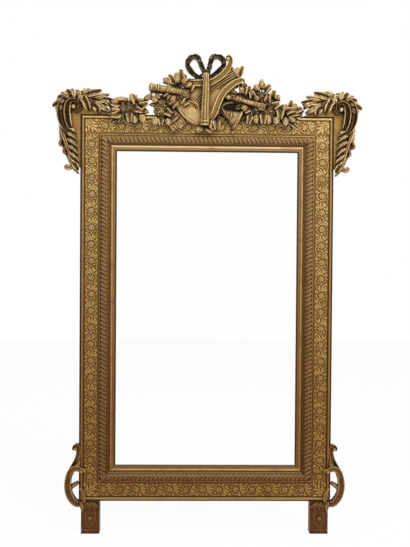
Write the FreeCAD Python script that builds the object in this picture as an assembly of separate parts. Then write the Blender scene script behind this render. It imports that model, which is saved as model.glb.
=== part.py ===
import FreeCAD, Part
import math
import os

# Gilded wall mirror, millimetres.  X is across, Z is up from the soles of the feet, and the front
# faces -Y.  Y = 0 is the front of the wooden carcass, on which every moulding and carving lies.

# Main sizes
FRAME_W = 864.0
FRAME_H = 1320.0
FOOT_H = 113.0
CARCASS_W = 104.0
CARCASS_T = 30.0

# Face of the frame, measured inwards from its outer edge
LEDGE_END = 6.0
LIP_END = 13.5
FRIEZE_END = 64.0
RIBBON_END = 97.0
SIGHT_END = 124.0
LIP_ROUND = 3.0
QUIRK_W = 2.0
BEAD_W = 5.0
FILLET_W = 3.0
COVE_W = 7.0
SIGHT_BEAD_W = 8.0
BEVEL_W = 5.5

# Heights of the mouldings above the front of the carcass
LEDGE_H = 4.0
LIP_H = 11.0
FRIEZE_H = 3.0
QUIRK_H = 4.0
BEAD_H = 6.4
FILLET_H = 7.5
RIBBON_H = 18.0
SIGHT_FLAT_H = 4.0
SIGHT_BEAD_H = 8.0
SIGHT_EDGE_H = 1.5

# Plate, back boards and blocks
PLATE_T = 5.0
PLATE_PLAY = 2.0
REBATE_W = 12.0
REBATE_T = 14.0
BOARD_T = 9.0
BOARD_COUNT = 4
BOARD_GAP = 1.0
BLOCK_L = 45.0
BLOCK_W = 12.0
BLOCK_T = 9.0

# Feet
FOOT_W = 62.0
FOOT_INSET = 8.0
FOOT_FRONT_H = 5.0
TONGUE_W = 44.0
TONGUE_L = 70.0

# Fixings
PEG_R = 5.0
NAIL_R = 1.2
NAIL_L = 19.0
NAIL_HEAD_R = 3.0
NAIL_HEAD_T = 1.0
SCREW_R = 2.2
SCREW_HEAD_R = 4.4
SCREW_L = 25.0
STRAP_SCREW_L = 22.0

# Crest and corner carvings
CREST_BOARD_T = 19.0
BATTEN_W = 44.0
BATTEN_DROP = 70.0
BATTEN_RISE = 55.0
EAR_H = 6.0
EAR_T = 18.0
BRACKET_BACK = 12.0
LYRE_TILT = 34.8
LYRE_T = 12.0

# Hangers
STRAP_W = 18.0
STRAP_T = 2.5
STRAP_L = 62.0
WIRE_R = 2.5
RING_INNER_W = 36.0
RING_SIDE_L = 14.0
RING_BEND_R = 5.0
RING_STAND = 0.5
RUN_FIT = 0.05
HANGER_DROP = 260.0

# Places that follow from the sizes
HALF_W = FRAME_W / 2
BASE_Z = FOOT_H
TOP_Z = FOOT_H + FRAME_H
BACK_Y = CARCASS_T
LAP_Y = CARCASS_T / 2
CREST_H = LIP_H
CREST_X = -7.0
V = FreeCAD.Vector
nodes = {}


def block(x0, x1, y0, y1, z0, z1):
    return Part.makeBox(x1 - x0, y1 - y0, z1 - z0, V(x0, y0, z0))


def fused(shapes):
    return shapes[0].fuse(shapes[1:]) if len(shapes) > 1 else shapes[0]


def cut_by(shape, tools):
    """Cut every tool whose box meets the shape's box."""
    near = [t for t in tools if shape.BoundBox.intersect(t.BoundBox)]
    return shape.cut(near) if near else shape


def wire_of(segments, place):
    """Closed outline: each segment is a list of two points (line) or three (arc)."""
    edges = []
    for points in segments:
        ends = [place(*p) for p in points]
        if len(ends) == 2:
            edges.append(Part.makeLine(*ends))
        else:
            edges.append(Part.Arc(*ends).toShape())
    return Part.Wire(edges)


def through(points, place):
    """Smooth edge through the points."""
    curve = Part.BSplineCurve()
    curve.interpolate([place(*p) for p in points])
    return curve.toShape()


def stroke(points, base_h, rise):
    """Carved band with a flat back and a rounded front.

    Each point is (x, z, half width).  The band's height falls with its width.
    """
    curve = Part.BSplineCurve()
    curve.interpolate([V(x, w, z) for x, z, w in points])
    widest = max(w for x, z, w in points)
    first, last = curve.FirstParameter, curve.LastParameter
    count = 2 * len(points) - 1
    sections = []
    for i in range(count):
        at = first + (last - first) * i / (count - 1)
        here, along = curve.value(at), curve.tangent(at)[0]
        w = max(here.y, 0.8)
        across = V(-along.z, 0, along.x).normalize() * w
        height = rise * math.sqrt(w / widest)
        dome = 0.7 * min(w, height)
        mid = V(here.x, -base_h, here.z)
        side = V(0, dome - height, 0)
        left, right = mid + across, mid - across
        sections.append(Part.Wire([
            Part.makeLine(left, left + side),
            Part.Arc(left + side, mid - V(0, height, 0), right + side).toShape(),
            Part.makeLine(right + side, right),
            Part.makeLine(right, left),
        ]))
    return Part.makeLoft(sections, True, False)


def leaf(x0, z0, x1, z1, w, base_h, rise, bend=0.0):
    """Pointed leaf from its stalk end to its tip, its middle pushed aside by bend."""
    length = math.hypot(x1 - x0, z1 - z0)
    side = (-(z1 - z0) / length * bend, (x1 - x0) / length * bend)
    middle = (0.55 * x0 + 0.45 * x1 + side[0], 0.55 * z0 + 0.45 * z1 + side[1], w)
    return stroke([(x0, z0, 0.45 * w), middle, (x1, z1, 0.12 * w)], base_h, rise)


def rose(x, z, r, base_h, rise):
    """Flower of two rings of five petals round a blunt heart."""
    def petals(reach, turn, low, high):
        def place(share, step):
            angle = turn + step * math.pi / 5
            return V(x + share * reach * math.cos(angle), -base_h - low, z + share * reach * math.sin(angle))

        lobes = [[(0.8, 2 * i), (1.0, 2 * i + 1), (0.8, 2 * i + 2)] for i in range(5)]
        return Part.Face(wire_of(lobes, place)).extrude(V(0, low - high, 0))

    outer = petals(r, 0.3, 0, 0.5 * rise)
    inner = petals(0.62 * r, 0.9, 0.5 * rise, 0.8 * rise)
    heart = Part.makeCone(0.3 * r, 0.2 * r, 0.2 * rise, V(x, -base_h - 0.8 * rise, z), V(0, -1, 0))
    return outer.fuse([inner, heart])


# Carcass: two stiles and two rails, half-lapped at the corners with the stiles in front.
def stile(s):
    x0, x1 = sorted((s * HALF_W, s * (HALF_W - CARCASS_W)))
    body = block(x0, x1, 0, BACK_Y, BASE_Z, TOP_Z)
    low = block(x0, x1, LAP_Y, BACK_Y, BASE_Z, BASE_Z + CARCASS_W)
    high = block(x0, x1, LAP_Y, BACK_Y, TOP_Z - CARCASS_W, TOP_Z)
    return body.cut([low, high])


def rail(z0, z1):
    body = block(-HALF_W, HALF_W, 0, BACK_Y, z0, z1)
    ends = []
    for s in (-1, 1):
        x0, x1 = sorted((s * HALF_W, s * (HALF_W - CARCASS_W)))
        ends.append(block(x0, x1, 0, LAP_Y, z0, z1))
    return body.cut(ends)


recess_x = HALF_W - CARCASS_W + REBATE_W
recess_z0 = BASE_Z + CARCASS_W - REBATE_W
recess_z1 = TOP_Z - CARCASS_W + REBATE_W
board_y = BACK_Y - REBATE_T
recess = block(-recess_x, recess_x, board_y, BACK_Y, recess_z0, recess_z1)

carcass = {
    "stile_left": stile(-1),
    "stile_right": stile(1),
    "rail_top": rail(TOP_Z - CARCASS_W, TOP_Z),
    "rail_bottom": rail(BASE_Z, BASE_Z + CARCASS_W),
}
carcass = {name: shape.cut(recess) for name, shape in carcass.items()}

# Two pegs through each half-lap.
near, far = 0.29 * CARCASS_W, 0.8 * CARCASS_W
pegs = []
for s in (-1, 1):
    for z, t in ((BASE_Z, 1), (TOP_Z, -1)):
        for u, v in ((near, far), (far, near)):
            pegs.append(Part.makeCylinder(PEG_R, CARCASS_T, V(s * (HALF_W - u), 0, z + t * v), V(0, 1, 0)))
nodes["corner_pegs"] = Part.makeCompound(pegs)


def screw(x, y, z, length):
    """Countersunk slotted screw with its head flush at y, pointing forwards."""
    head_t = SCREW_HEAD_R - SCREW_R
    head = Part.makeCone(SCREW_HEAD_R, SCREW_R, head_t, V(x, y, z), V(0, -1, 0))
    shank = Part.makeCylinder(SCREW_R, length - head_t - SCREW_R, V(x, y - head_t, z), V(0, -1, 0))
    point = Part.makeCone(SCREW_R, 0, SCREW_R, V(x, y - length + SCREW_R, z), V(0, -1, 0))
    return head.fuse([shank, point])


def slotted(shape, x, y, z):
    """The same screw with its driver slot cut."""
    half, depth = SCREW_HEAD_R, 0.35 * SCREW_HEAD_R
    return shape.cut(block(x - half, x + half, y - depth / 2, y, z - 0.6, z + 0.6))


# Feet: square blocks whose tongues run up into the back of the corner, screwed to the stile.
foot_screws, foot_holes = [], []
for s, side in ((-1, "left"), (1, "right")):
    mid = s * (HALF_W - FOOT_INSET - FOOT_W / 2)
    x0, x1 = mid - FOOT_W / 2, mid + FOOT_W / 2
    body = block(x0, x1, -FOOT_FRONT_H, BACK_Y, 0, BASE_Z)
    tongue = block(mid - TONGUE_W / 2, mid + TONGUE_W / 2, LAP_Y, BACK_Y, BASE_Z, BASE_Z + TONGUE_L)
    drop = stroke([
        (mid, 0.9 * FOOT_H, 0.12 * FOOT_W), (mid, 0.7 * FOOT_H, 0.33 * FOOT_W),
        (mid, 0.4 * FOOT_H, 0.3 * FOOT_W), (mid, 0.1 * FOOT_H, 0.05 * FOOT_W),
    ], FOOT_FRONT_H, 4.0)
    for share in (0.3, 0.75):
        z = BASE_Z + share * TONGUE_L
        foot_holes.append(screw(mid, BACK_Y, z, SCREW_L))
        foot_screws.append(slotted(foot_holes[-1], mid, BACK_Y, z))
    nodes["foot_" + side] = cut_by(fused([body, tongue, drop]), foot_holes)
    carcass["rail_bottom"] = carcass["rail_bottom"].cut(tongue)
nodes["foot_screws"] = Part.makeCompound(foot_screws)

# Mouldings: four profiles, each run round the frame and mitred at the corners.
round_in = LIP_ROUND * (1 - math.sqrt(0.5))
lip = [
    [(0, 0), (0, LEDGE_H)],
    [(0, LEDGE_H), (LEDGE_END, LEDGE_H)],
    [(LEDGE_END, LEDGE_H), (LEDGE_END, LIP_H - LIP_ROUND)],
    [(LEDGE_END, LIP_H - LIP_ROUND), (LEDGE_END + round_in, LIP_H - round_in), (LEDGE_END + LIP_ROUND, LIP_H)],
    [(LEDGE_END + LIP_ROUND, LIP_H), (LIP_END - LIP_ROUND, LIP_H)],
    [(LIP_END - LIP_ROUND, LIP_H), (LIP_END - round_in, LIP_H - round_in), (LIP_END, LIP_H - LIP_ROUND)],
    [(LIP_END, LIP_H - LIP_ROUND), (LIP_END, 0)],
    [(LIP_END, 0), (0, 0)],
]
frieze = [
    [(LIP_END, 0), (LIP_END, FRIEZE_H)],
    [(LIP_END, FRIEZE_H), (FRIEZE_END, FRIEZE_H)],
    [(FRIEZE_END, FRIEZE_H), (FRIEZE_END, 0)],
    [(FRIEZE_END, 0), (LIP_END, 0)],
]
bead_start = FRIEZE_END + QUIRK_W
bead_end = bead_start + BEAD_W
rod_start, rod_end = bead_end + QUIRK_W, RIBBON_END - FILLET_W
ribbon = [
    [(FRIEZE_END, 0), (FRIEZE_END, QUIRK_H)],
    [(FRIEZE_END, QUIRK_H), (bead_start, QUIRK_H)],
    [(bead_start, QUIRK_H), (bead_start + BEAD_W / 2, BEAD_H), (bead_end, QUIRK_H)],
    [(bead_end, QUIRK_H), (rod_start, QUIRK_H)],
    [(rod_start, QUIRK_H), (rod_start, FILLET_H)],
    [(rod_start, FILLET_H), ((rod_start + rod_end) / 2, RIBBON_H), (rod_end, FILLET_H)],
    [(rod_end, FILLET_H), (RIBBON_END, FILLET_H)],
    [(RIBBON_END, FILLET_H), (RIBBON_END, 0)],
    [(RIBBON_END, 0), (FRIEZE_END, 0)],
]
cove_end = RIBBON_END + COVE_W
cove_fall = FILLET_H - SIGHT_FLAT_H
sight_bead_end = cove_end + SIGHT_BEAD_W
bevel_start = SIGHT_END - BEVEL_W
sight = [
    [(RIBBON_END, 0), (RIBBON_END, FILLET_H)],
    [(RIBBON_END, FILLET_H), (RIBBON_END + 0.4 * COVE_W, SIGHT_FLAT_H + 0.25 * cove_fall),
     (cove_end, SIGHT_FLAT_H)],
    [(cove_end, SIGHT_FLAT_H), (cove_end + SIGHT_BEAD_W / 2, SIGHT_BEAD_H), (sight_bead_end, SIGHT_FLAT_H)],
    [(sight_bead_end, SIGHT_FLAT_H), (bevel_start, SIGHT_FLAT_H)],
    [(bevel_start, SIGHT_FLAT_H), (SIGHT_END, SIGHT_EDGE_H)],
    [(SIGHT_END, SIGHT_EDGE_H), (SIGHT_END, 0)],
    [(SIGHT_END, 0), (RIBBON_END, 0)],
]
half_h = FRAME_H / 2
mid_z = BASE_Z + half_h
sides = {
    "top": (V(1, 0, 0), V(0, 0, 1), HALF_W, half_h),
    "bottom": (V(1, 0, 0), V(0, 0, -1), HALF_W, half_h),
    "left": (V(0, 0, 1), V(-1, 0, 0), half_h, HALF_W),
    "right": (V(0, 0, 1), V(1, 0, 0), half_h, HALF_W),
}


def moulding(profile, side):
    """One length of a profile, cut at 45 degrees at both ends."""
    along, out, half_l, reach = sides[side]
    centre = V(0, 0, mid_z)

    def place(u, h):
        return centre - along * half_l + out * (reach - u) - V(0, h, 0)

    bar = Part.Face(wire_of(profile, place)).extrude(along * 2 * half_l)
    u1 = SIGHT_END
    corners = [(-half_l, 0), (half_l, 0), (half_l - u1, u1), (u1 - half_l, u1), (-half_l, 0)]
    mitre = [centre + along * a + out * (reach - u) for a, u in corners]
    return bar.common(Part.Face(Part.makePolygon(mitre)).extrude(V(0, -2 * RIBBON_H, 0)))


for side in sides:
    for name, profile in (("edge_lip_", lip), ("frieze_", frieze), ("ribbon_moulding_", ribbon),
                          ("sight_moulding_", sight)):
        nodes[name + side] = moulding(profile, side)

# Mirror plate behind the sight moulding, held by blocks glued to the carcass.
open_x = HALF_W - CARCASS_W
open_z0, open_z1 = BASE_Z + CARCASS_W, TOP_Z - CARCASS_W
plate_x = open_x - PLATE_PLAY
nodes["mirror_plate"] = block(-plate_x, plate_x, 0, PLATE_T, open_z0 + PLATE_PLAY, open_z1 - PLATE_PLAY)
glazing = []
for share in (-0.8, -0.3, 0.3, 0.8):
    z = mid_z + share * (open_z1 - open_z0) / 2
    for s in (-1, 1):
        x0, x1 = sorted((s * open_x, s * (open_x - BLOCK_W)))
        glazing.append(block(x0, x1, PLATE_T, PLATE_T + BLOCK_T, z - BLOCK_L / 2, z + BLOCK_L / 2))
for share in (-0.6, 0, 0.6):
    x = share * open_x
    for z0, z1 in ((open_z0, open_z0 + BLOCK_W), (open_z1 - BLOCK_W, open_z1)):
        glazing.append(block(x - BLOCK_L / 2, x + BLOCK_L / 2, PLATE_T, PLATE_T + BLOCK_T, z0, z1))
nodes["glazing_blocks"] = Part.makeCompound(glazing)

# Back boards laid across the rebate and nailed into its shoulders.
nails = []
pitch = (recess_z1 - recess_z0 - BOARD_GAP) / BOARD_COUNT
boards = {}
for i in range(BOARD_COUNT):
    z0 = recess_z0 + BOARD_GAP + i * pitch
    z1 = z0 + pitch - BOARD_GAP
    reach = recess_x - BOARD_GAP
    boards[f"back_board_{i + 1}"] = block(-reach, reach, board_y, board_y + BOARD_T, z0, z1)
    for s in (-1, 1):
        for share in (0.18, 0.82):
            spot = V(s * (recess_x - REBATE_W / 2), board_y + BOARD_T, z0 + share * (z1 - z0))
            shank = Part.makeCylinder(NAIL_R, NAIL_L, spot, V(0, -1, 0))
            nails.append(shank.fuse(Part.makeCylinder(NAIL_HEAD_R, NAIL_HEAD_T, spot, V(0, 1, 0))))
for name, shape in boards.items():
    nodes[name] = cut_by(shape, nails)
nodes["back_board_nails"] = Part.makeCompound(nails)


# Hangers: an iron strap screwed to each stile, rolled round the straight side of a ring.
def ring_wire(x, y, z):
    """Centre line of the ring, hanging down from the hinge line at (y, z)."""
    half = RING_INNER_W / 2 + WIRE_R
    bend, turn = RING_BEND_R, RING_BEND_R * (1 - math.sqrt(0.5))
    low = z - RING_SIDE_L
    return wire_of([
        [(bend - half, z), (half - bend, z)],
        [(half - bend, z), (half - turn, z - turn), (half, z - bend)],
        [(half, z - bend), (half, low)],
        [(half, low), (0, low - half), (-half, low)],
        [(-half, low), (-half, z - bend)],
        [(-half, z - bend), (turn - half, z - turn), (bend - half, z)],
    ], lambda a, b: V(x + a, y, b))


hanger_screws, hanger_holes = [], []
hinge_z = TOP_Z - HANGER_DROP
hinge_r = STRAP_T + RING_STAND + WIRE_R
hinge_y = BACK_Y + hinge_r
for s, side in ((-1, "left"), (1, "right")):
    x = s * (HALF_W - CARCASS_W / 2)
    x0, x1 = x - STRAP_W / 2, x + STRAP_W / 2
    plate = block(x0, x1, BACK_Y, BACK_Y + STRAP_T, hinge_z - STRAP_L, hinge_z)
    roll = Part.makeCylinder(hinge_r, STRAP_W, V(x0, hinge_y, hinge_z), V(1, 0, 0))
    bore = Part.makeCylinder(WIRE_R + RUN_FIT, STRAP_W, V(x0, hinge_y, hinge_z), V(1, 0, 0))
    for share in (0.35, 0.82):
        z = hinge_z - share * STRAP_L
        hanger_holes.append(screw(x, BACK_Y + STRAP_T, z, STRAP_SCREW_L))
        hanger_screws.append(slotted(hanger_holes[-1], x, BACK_Y + STRAP_T, z))
    nodes["hanger_strap_" + side] = cut_by(plate.fuse(roll).cut(bore), hanger_holes)
    path = ring_wire(x, hinge_y, hinge_z)
    rim = Part.Wire(Part.makeCircle(WIRE_R, V(x, hinge_y, hinge_z), V(1, 0, 0)))
    nodes["hanger_ring_" + side] = Part.Wire(path.OrderedEdges).makePipeShell([rim], True, False)
nodes["hanger_screws"] = Part.makeCompound(hanger_screws)

# Crest board: stands on the top rail behind the carvings, held by two battens let into the rail.
def crest(x, z):
    return V(CREST_X + x, -CREST_H, TOP_Z + z)


board_edge = [(-172, 0), (-162, 36), (-118, 58), (-60, 82), (-10, 100), (50, 102), (94, 76),
              (142, 56), (194, 40), (228, 0)]
board_foot = Part.makeLine(crest(*board_edge[-1]), crest(*board_edge[0]))
outline = Part.Wire([through(board_edge, crest), board_foot])
crest_board = Part.Face(outline).extrude(V(0, CREST_BOARD_T, 0))
batten_y = CREST_BOARD_T - CREST_H
battens, batten_screws, batten_holes = [], [], []
for x in (-75.0, 85.0):
    x0, x1 = x - BATTEN_W / 2, x + BATTEN_W / 2
    battens.append(block(x0, x1, batten_y, BACK_Y, TOP_Z - BATTEN_DROP, TOP_Z + BATTEN_RISE))
    for z in (TOP_Z - 0.7 * BATTEN_DROP, TOP_Z - 0.3 * BATTEN_DROP, TOP_Z + 0.7 * BATTEN_RISE):
        batten_holes.append(screw(x, BACK_Y, z, SCREW_L))
        batten_screws.append(slotted(batten_holes[-1], x, BACK_Y, z))
carcass["rail_top"] = carcass["rail_top"].cut(battens)
nodes["crest_battens"] = Part.makeCompound([cut_by(b, batten_holes) for b in battens])
nodes["crest_screws"] = Part.makeCompound(batten_screws)
nodes["crest_board"] = cut_by(crest_board, batten_holes)

for name, shape in carcass.items():
    nodes[name] = cut_by(shape, pegs + nails + foot_holes + batten_holes + hanger_holes)


# Crest carvings.  Each is a list of bands, leaves and flowers measured from the crest's middle on the
# top edge, a little left of the frame's.  A carving in front is let into those behind it.
def bands(*lists, rise, base_h=CREST_H):
    return [stroke([(CREST_X + x, TOP_Z + z, w) for x, z, w in points], base_h, rise) for points in lists]


def leaves(*rows, rise, base_h=CREST_H):
    moved = [(CREST_X + x0, TOP_Z + z0, CREST_X + x1, TOP_Z + z1, w, bend) for x0, z0, x1, z1, w, bend in rows]
    return [leaf(x0, z0, x1, z1, w, base_h, rise, bend) for x0, z0, x1, z1, w, bend in moved]


def roses(*rows, base_h=CREST_H):
    return [rose(CREST_X + x, TOP_Z + z, r, base_h, 0.55 * r + 6) for x, z, r in rows]


tilt = math.radians(LYRE_TILT)


def string(aside):
    """Lyre string, this far to the left of the middle string."""
    x, z = -aside * math.sin(tilt), aside * math.cos(tilt)
    ends = [(-14, 56), (32, 88), (90, 128)]
    return [(x + a, z + b, 2.2) for a, b in ends]


reed_pipe = bands([(-4, -36, 17), (-3, 20, 14), (-1, 80, 11), (0, 138, 9)], rise=31)
lyre_edge = [(-98, 34), (-88, 8), (-66, -16), (-40, -30), (-12, -34), (12, -26), (28, -6), (40, 28), (60, 66),
             (104, 104), (88, 150), (40, 110), (6, 92), (-20, 56), (-56, 42), (-98, 34)]
lyre_face = Part.Face(Part.Wire([through(lyre_edge, crest)]))
lyre = [lyre_face.extrude(V(0, -LYRE_T, 0))] + bands(
    [(-14, 96, 9), (14, 106, 11), (42, 122, 11), (64, 142, 11), (79, 168, 10), (82, 184, 9), (74, 195, 8)],
    [(12, -20, 9), (28, 2, 11), (40, 34, 11), (57, 69, 11), (81, 94, 11), (108, 112, 10), (124, 112, 9)],
    [(84, 160, 5), (100, 142, 5), (114, 120, 5)], rise=20)
strings = bands(*[string(aside) for aside in (-10.5, -3.5, 3.5, 10.5)], rise=LYRE_T + 4)
bow = bands(
    [(-2, 138, 7), (-14, 160, 8), (-26, 186, 8), (-42, 195, 8), (-59, 184, 8), (-65, 164, 8), (-56, 142, 8),
     (-36, 122, 8), (-12, 112, 8)],
    [(4, 138, 7), (12, 158, 8), (22, 183, 8), (37, 192, 8), (54, 187, 8), (64, 170, 8), (59, 148, 8),
     (40, 130, 8), (18, 118, 7)],
    [(-8, 104, 10), (-34, 100, 11), (-62, 104, 9)], rise=16) + roses((1, 140, 12))
quiver = bands([(-192, 88, 19), (-182, 87, 17), (-130, 81, 15), (-78, 72, 14)], rise=24)
horn = bands([(104, 44, 6), (82, 43, 6), (62, 37, 7), (51, 22, 8), (60, 8, 11), (78, -2, 18), (96, -12, 28),
              (110, -20, 37)], rise=26)
flute = bands([(64, 60, 8), (76, 58, 10), (90, 55, 6), (106, 52, 11), (114, 50, 11), (124, 47, 9),
               (200, 26, 12)], rise=22)
tubes = []
for i in range(5):
    x = -121 + 10.5 * i
    tubes.append([(x, 6 - i, 5.2), (x + 3, -20 - i, 5.2), (x + 6, -32 - 4.5 * i, 5.2)])
pan_pipes = bands(*tubes, rise=13) + bands([(-124, -10, 4), (-100, -15, 4), (-74, -18, 4)], rise=15)
leaf_spray = leaves(
    (-122, 82, -150, 131, 9, -3), (-108, 84, -131, 143, 10, -3), (-94, 84, -105, 147, 10, 0),
    (-84, 90, -80, 157, 9, 3), (-70, 70, -52, 118, 10, 0), rise=12,
) + roses((-76, 106, 18), (-57, 92, 12))
rose_spray_left = roses((-157, 36, 14), (-132, 38, 15), (-148, -8, 25), (-73, 60, 22)) + leaves(
    (-165, 28, -196, 62, 10, 4), (-120, 20, -96, 46, 11, 0), (-170, -4, -178, -42, 10, 4),
    (-140, 12, -112, -8, 9, 0), rise=11) + bands([(-172, 40, 5), (-190, 6, 6), (-178, -22, 5)], rise=10)
rose_spray_right = leaves(
    (188, 74, 189, 134, 10, 0), (192, 80, 222, 106, 11, 0), (182, 72, 164, 102, 9, 0),
    (222, 46, 228, 86, 10, 0), (232, 44, 252, 72, 9, 0), (156, 14, 142, -42, 11, 0),
    (170, 8, 177, -40, 12, 0), (196, 10, 195, -36, 12, 0), (214, 12, 222, -30, 11, 0),
    (148, 38, 146, 98, 10, 0), (102, 110, 120, 169, 7, 0), (108, 104, 140, 166, 8, 0),
    (18, -6, 13, -54, 9, 0), (38, -14, 46, -50, 9, 0), rise=11,
) + roses((192, 70, 13), (221, 45, 16), (194, 38, 15), (238, 20, 13)) + bands(
    [(160, 50, 5), (176, 62, 5), (190, 76, 5)], rise=10)
garland_left = leaves(
    (-262, 16, -314, 28, 10, 4), (-260, 22, -294, 46, 9, 0), (-258, 12, -254, -32, 11, 0),
    (-236, 26, -255, 66, 11, 0), (-232, 26, -198, 56, 9, 4), (-250, 26, -216, 4, 12, 0),
    (-232, 8, -210, -42, 11, 3), rise=11) + roses((-281, 8, 15), (-262, 20, 11), (-240, 4, 12)) + bands(
    [(-318, -4, 6), (-304, -16, 8), (-284, -6, 6)], rise=10)
garland_right = leaves(
    (250, 24, 280, 62, 10, 0), (256, 20, 294, 46, 9, 0), (252, 26, 254, -10, 10, 0), (262, 8, 306, -24, 12, 0),
    (276, 8, 316, 6, 9, -3), (236, 4, 236, -32, 10, 0), rise=11) + roses((246, 24, 13), (274, 8, 13))

front = []
for name, pieces in (
    ("reed_pipe", reed_pipe), ("ribbon_bow", bow), ("lyre", lyre), ("lyre_strings", strings),
    ("hunting_horn", horn), ("flute", flute), ("quiver", quiver), ("pan_pipes", pan_pipes),
    ("rose_spray_left", rose_spray_left), ("leaf_spray", leaf_spray), ("rose_spray_right", rose_spray_right),
    ("garland_left", garland_left), ("garland_right", garland_right),
):
    nodes[name] = fused([cut_by(piece, front) for piece in pieces])
    front += pieces


# Top corners: a flat gilded ear round the outside of the corner, a C-scroll and an acanthus leaf on
# it.  Both corners have the same shapes, turned about the middle of the frame.
def corner(rows):
    return [(HALF_W + x, TOP_Z + z, *rest) for x, z, *rest in rows]


def corner_bands(*lists, rise):
    return [stroke(corner(rows), EAR_H, rise) for rows in lists]


def corner_leaves(*rows, rise):
    moved = [(HALF_W + x0, TOP_Z + z0, HALF_W + x1, TOP_Z + z1, w) for x0, z0, x1, z1, w in rows]
    return [leaf(*row, EAR_H, rise) for row in moved]


def ear_point(x, z):
    return V(x, -EAR_H, z)


def both_sides(name, shape):
    nodes[name + "_right"] = shape
    nodes[name + "_left"] = shape.mirror(V(0, 0, 0), V(1, 0, 0))


ear_edge = corner([(-105, 0), (-60, 20), (-10, 40), (30, 66), (62, 58), (74, 20), (72, -40), (58, -100),
                   (34, -150), (0, -182)])
frame_corner = ear_point(HALF_W, TOP_Z)
outline = Part.Wire([
    through(ear_edge, ear_point), Part.makeLine(ear_point(*ear_edge[-1]), frame_corner),
    Part.makeLine(frame_corner, ear_point(*ear_edge[0])),
])
both_sides("corner_ear", Part.Face(outline).extrude(V(0, EAR_T, 0)))

c_scroll = [(26, 20, 6), (14, 24, 7), (17, 40, 8), (36, 48, 10), (55, 36, 12), (65, 8, 13), (63, -24, 12),
            (51, -48, 10), (33, -57, 7), (18, -50, 5)]
scroll = corner_bands(c_scroll, rise=20) + corner_bands(
    [(62, -36, 12), (54, -76, 17), (42, -112, 17), (28, -152, 13), (14, -190, 8)], rise=15) + corner_bands(
    [(60, -66, 6), (74, -82, 7), (72, -98, 7)], [(50, -98, 6), (60, -112, 7), (54, -128, 7)],
    [(32, -148, 6), (46, -152, 7), (54, -166, 7), (44, -178, 6)], rise=13)
both_sides("corner_scroll", fused(scroll))

crown = corner_leaves(*[(x0, z0, x1, z1, 12) for x0, z0, x1, z1 in (
    (4, 54, 22, 84), (14, 52, 40, 90), (26, 52, 58, 84), (38, 50, 73, 68), (52, 44, 94, 28))], rise=22)
crown += corner_bands([(-8, 58, 12), (30, 62, 16), (62, 46, 14), (72, 20, 8)], rise=16)
tail = corner_bands([(24, 64, 8), (0, 64, 12), (-40, 54, 15), (-80, 44, 13), (-114, 42, 4)],
                    [(10, 66, 8), (-22, 56, 9), (-42, 36, 8), (-54, 10, 5)], rise=16)
tips = corner_leaves((-8, 64, -44, 80, 10), (-36, 60, -74, 81, 10), (-60, 52, -101, 67, 10),
                     (-56, 40, -84, 10, 10), rise=13)
both_sides("corner_leaf", fused([cut_by(piece, scroll) for piece in crown + tail + tips]))


# Bottom corners: pierced scroll brackets against the outside of the stiles.
def bracket(rows, rise):
    return stroke([(HALF_W + x, BASE_Z + z, w) for x, z, w in rows], -BRACKET_BACK, rise)


depth = BRACKET_BACK + LIP_H
outer_scroll = [(16, 176, 6), (14, 186, 7), (4, 188, 7), (2, 170, 7), (6, 146, 8), (17, 120, 10), (30, 94, 11),
                (37, 64, 11), (35, 34, 11), (24, 8, 11), (6, -6, 9)]
pieces = [
    bracket(outer_scroll, depth + 8),
    bracket([(36, 44, 7), (20, 54, 6), (4, 70, 6), (-4, 82, 4)], depth),
    bracket([(22, 14, 6), (14, 20, 7), (6, 32, 6), (0, 44, 4)], depth + 6),
]
frame_side = block(0, HALF_W, -2 * depth, BACK_Y, 0, TOP_Z)
caps = [[(14, 40, 6), (-2, 30, 11), (-9, 8, 10), (4, -4, 6)], [(24, 100, 6), (4, 104, 9), (-26, 94, 3)]]
cap_leaves = [stroke([(HALF_W + x, BASE_Z + z, w) for x, z, w in cap], LIP_H, 9) for cap in caps]
both_sides("scroll_bracket", fused([fused(pieces).cut(frame_side)] + cap_leaves))

os.makedirs("parts", exist_ok=True)
for name, shape in nodes.items():
    shape.exportStep(f"parts/{name}.step")
    print(name, len(shape.Solids), shape.isValid(), round(shape.Volume))
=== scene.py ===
import bpy
import bmesh
import math
import random
from mathutils import Matrix, Vector


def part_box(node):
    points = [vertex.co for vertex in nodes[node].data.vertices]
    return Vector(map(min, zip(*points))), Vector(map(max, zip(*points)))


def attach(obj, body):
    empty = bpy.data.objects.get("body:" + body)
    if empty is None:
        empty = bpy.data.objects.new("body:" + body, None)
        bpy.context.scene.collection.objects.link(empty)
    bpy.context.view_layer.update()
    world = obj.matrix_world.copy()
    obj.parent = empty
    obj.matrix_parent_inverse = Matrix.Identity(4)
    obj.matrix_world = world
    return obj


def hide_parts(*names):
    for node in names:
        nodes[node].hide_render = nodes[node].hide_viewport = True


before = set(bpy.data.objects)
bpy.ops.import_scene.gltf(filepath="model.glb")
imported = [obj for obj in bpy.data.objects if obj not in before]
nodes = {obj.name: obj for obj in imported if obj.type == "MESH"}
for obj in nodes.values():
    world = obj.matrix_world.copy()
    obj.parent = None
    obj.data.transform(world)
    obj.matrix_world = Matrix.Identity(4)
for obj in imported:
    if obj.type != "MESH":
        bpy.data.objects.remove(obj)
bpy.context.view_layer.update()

# Carcass
# Stiles, rails, pegs, blocks and back boards of old pine, left unfinished and darkened by age.
# The stiles and rails are half-lapped and pegged; the boards are nailed into a rebate.
MM = 0.001


def linear(code):
    """Linear colour of an sRGB hex code."""
    parts = [int(code[i:i + 2], 16) / 255 for i in (1, 3, 5)]
    return (*[c / 12.92 if c <= 0.04045 else ((c + 0.055) / 1.055) ** 2.4 for c in parts], 1.0)


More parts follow.
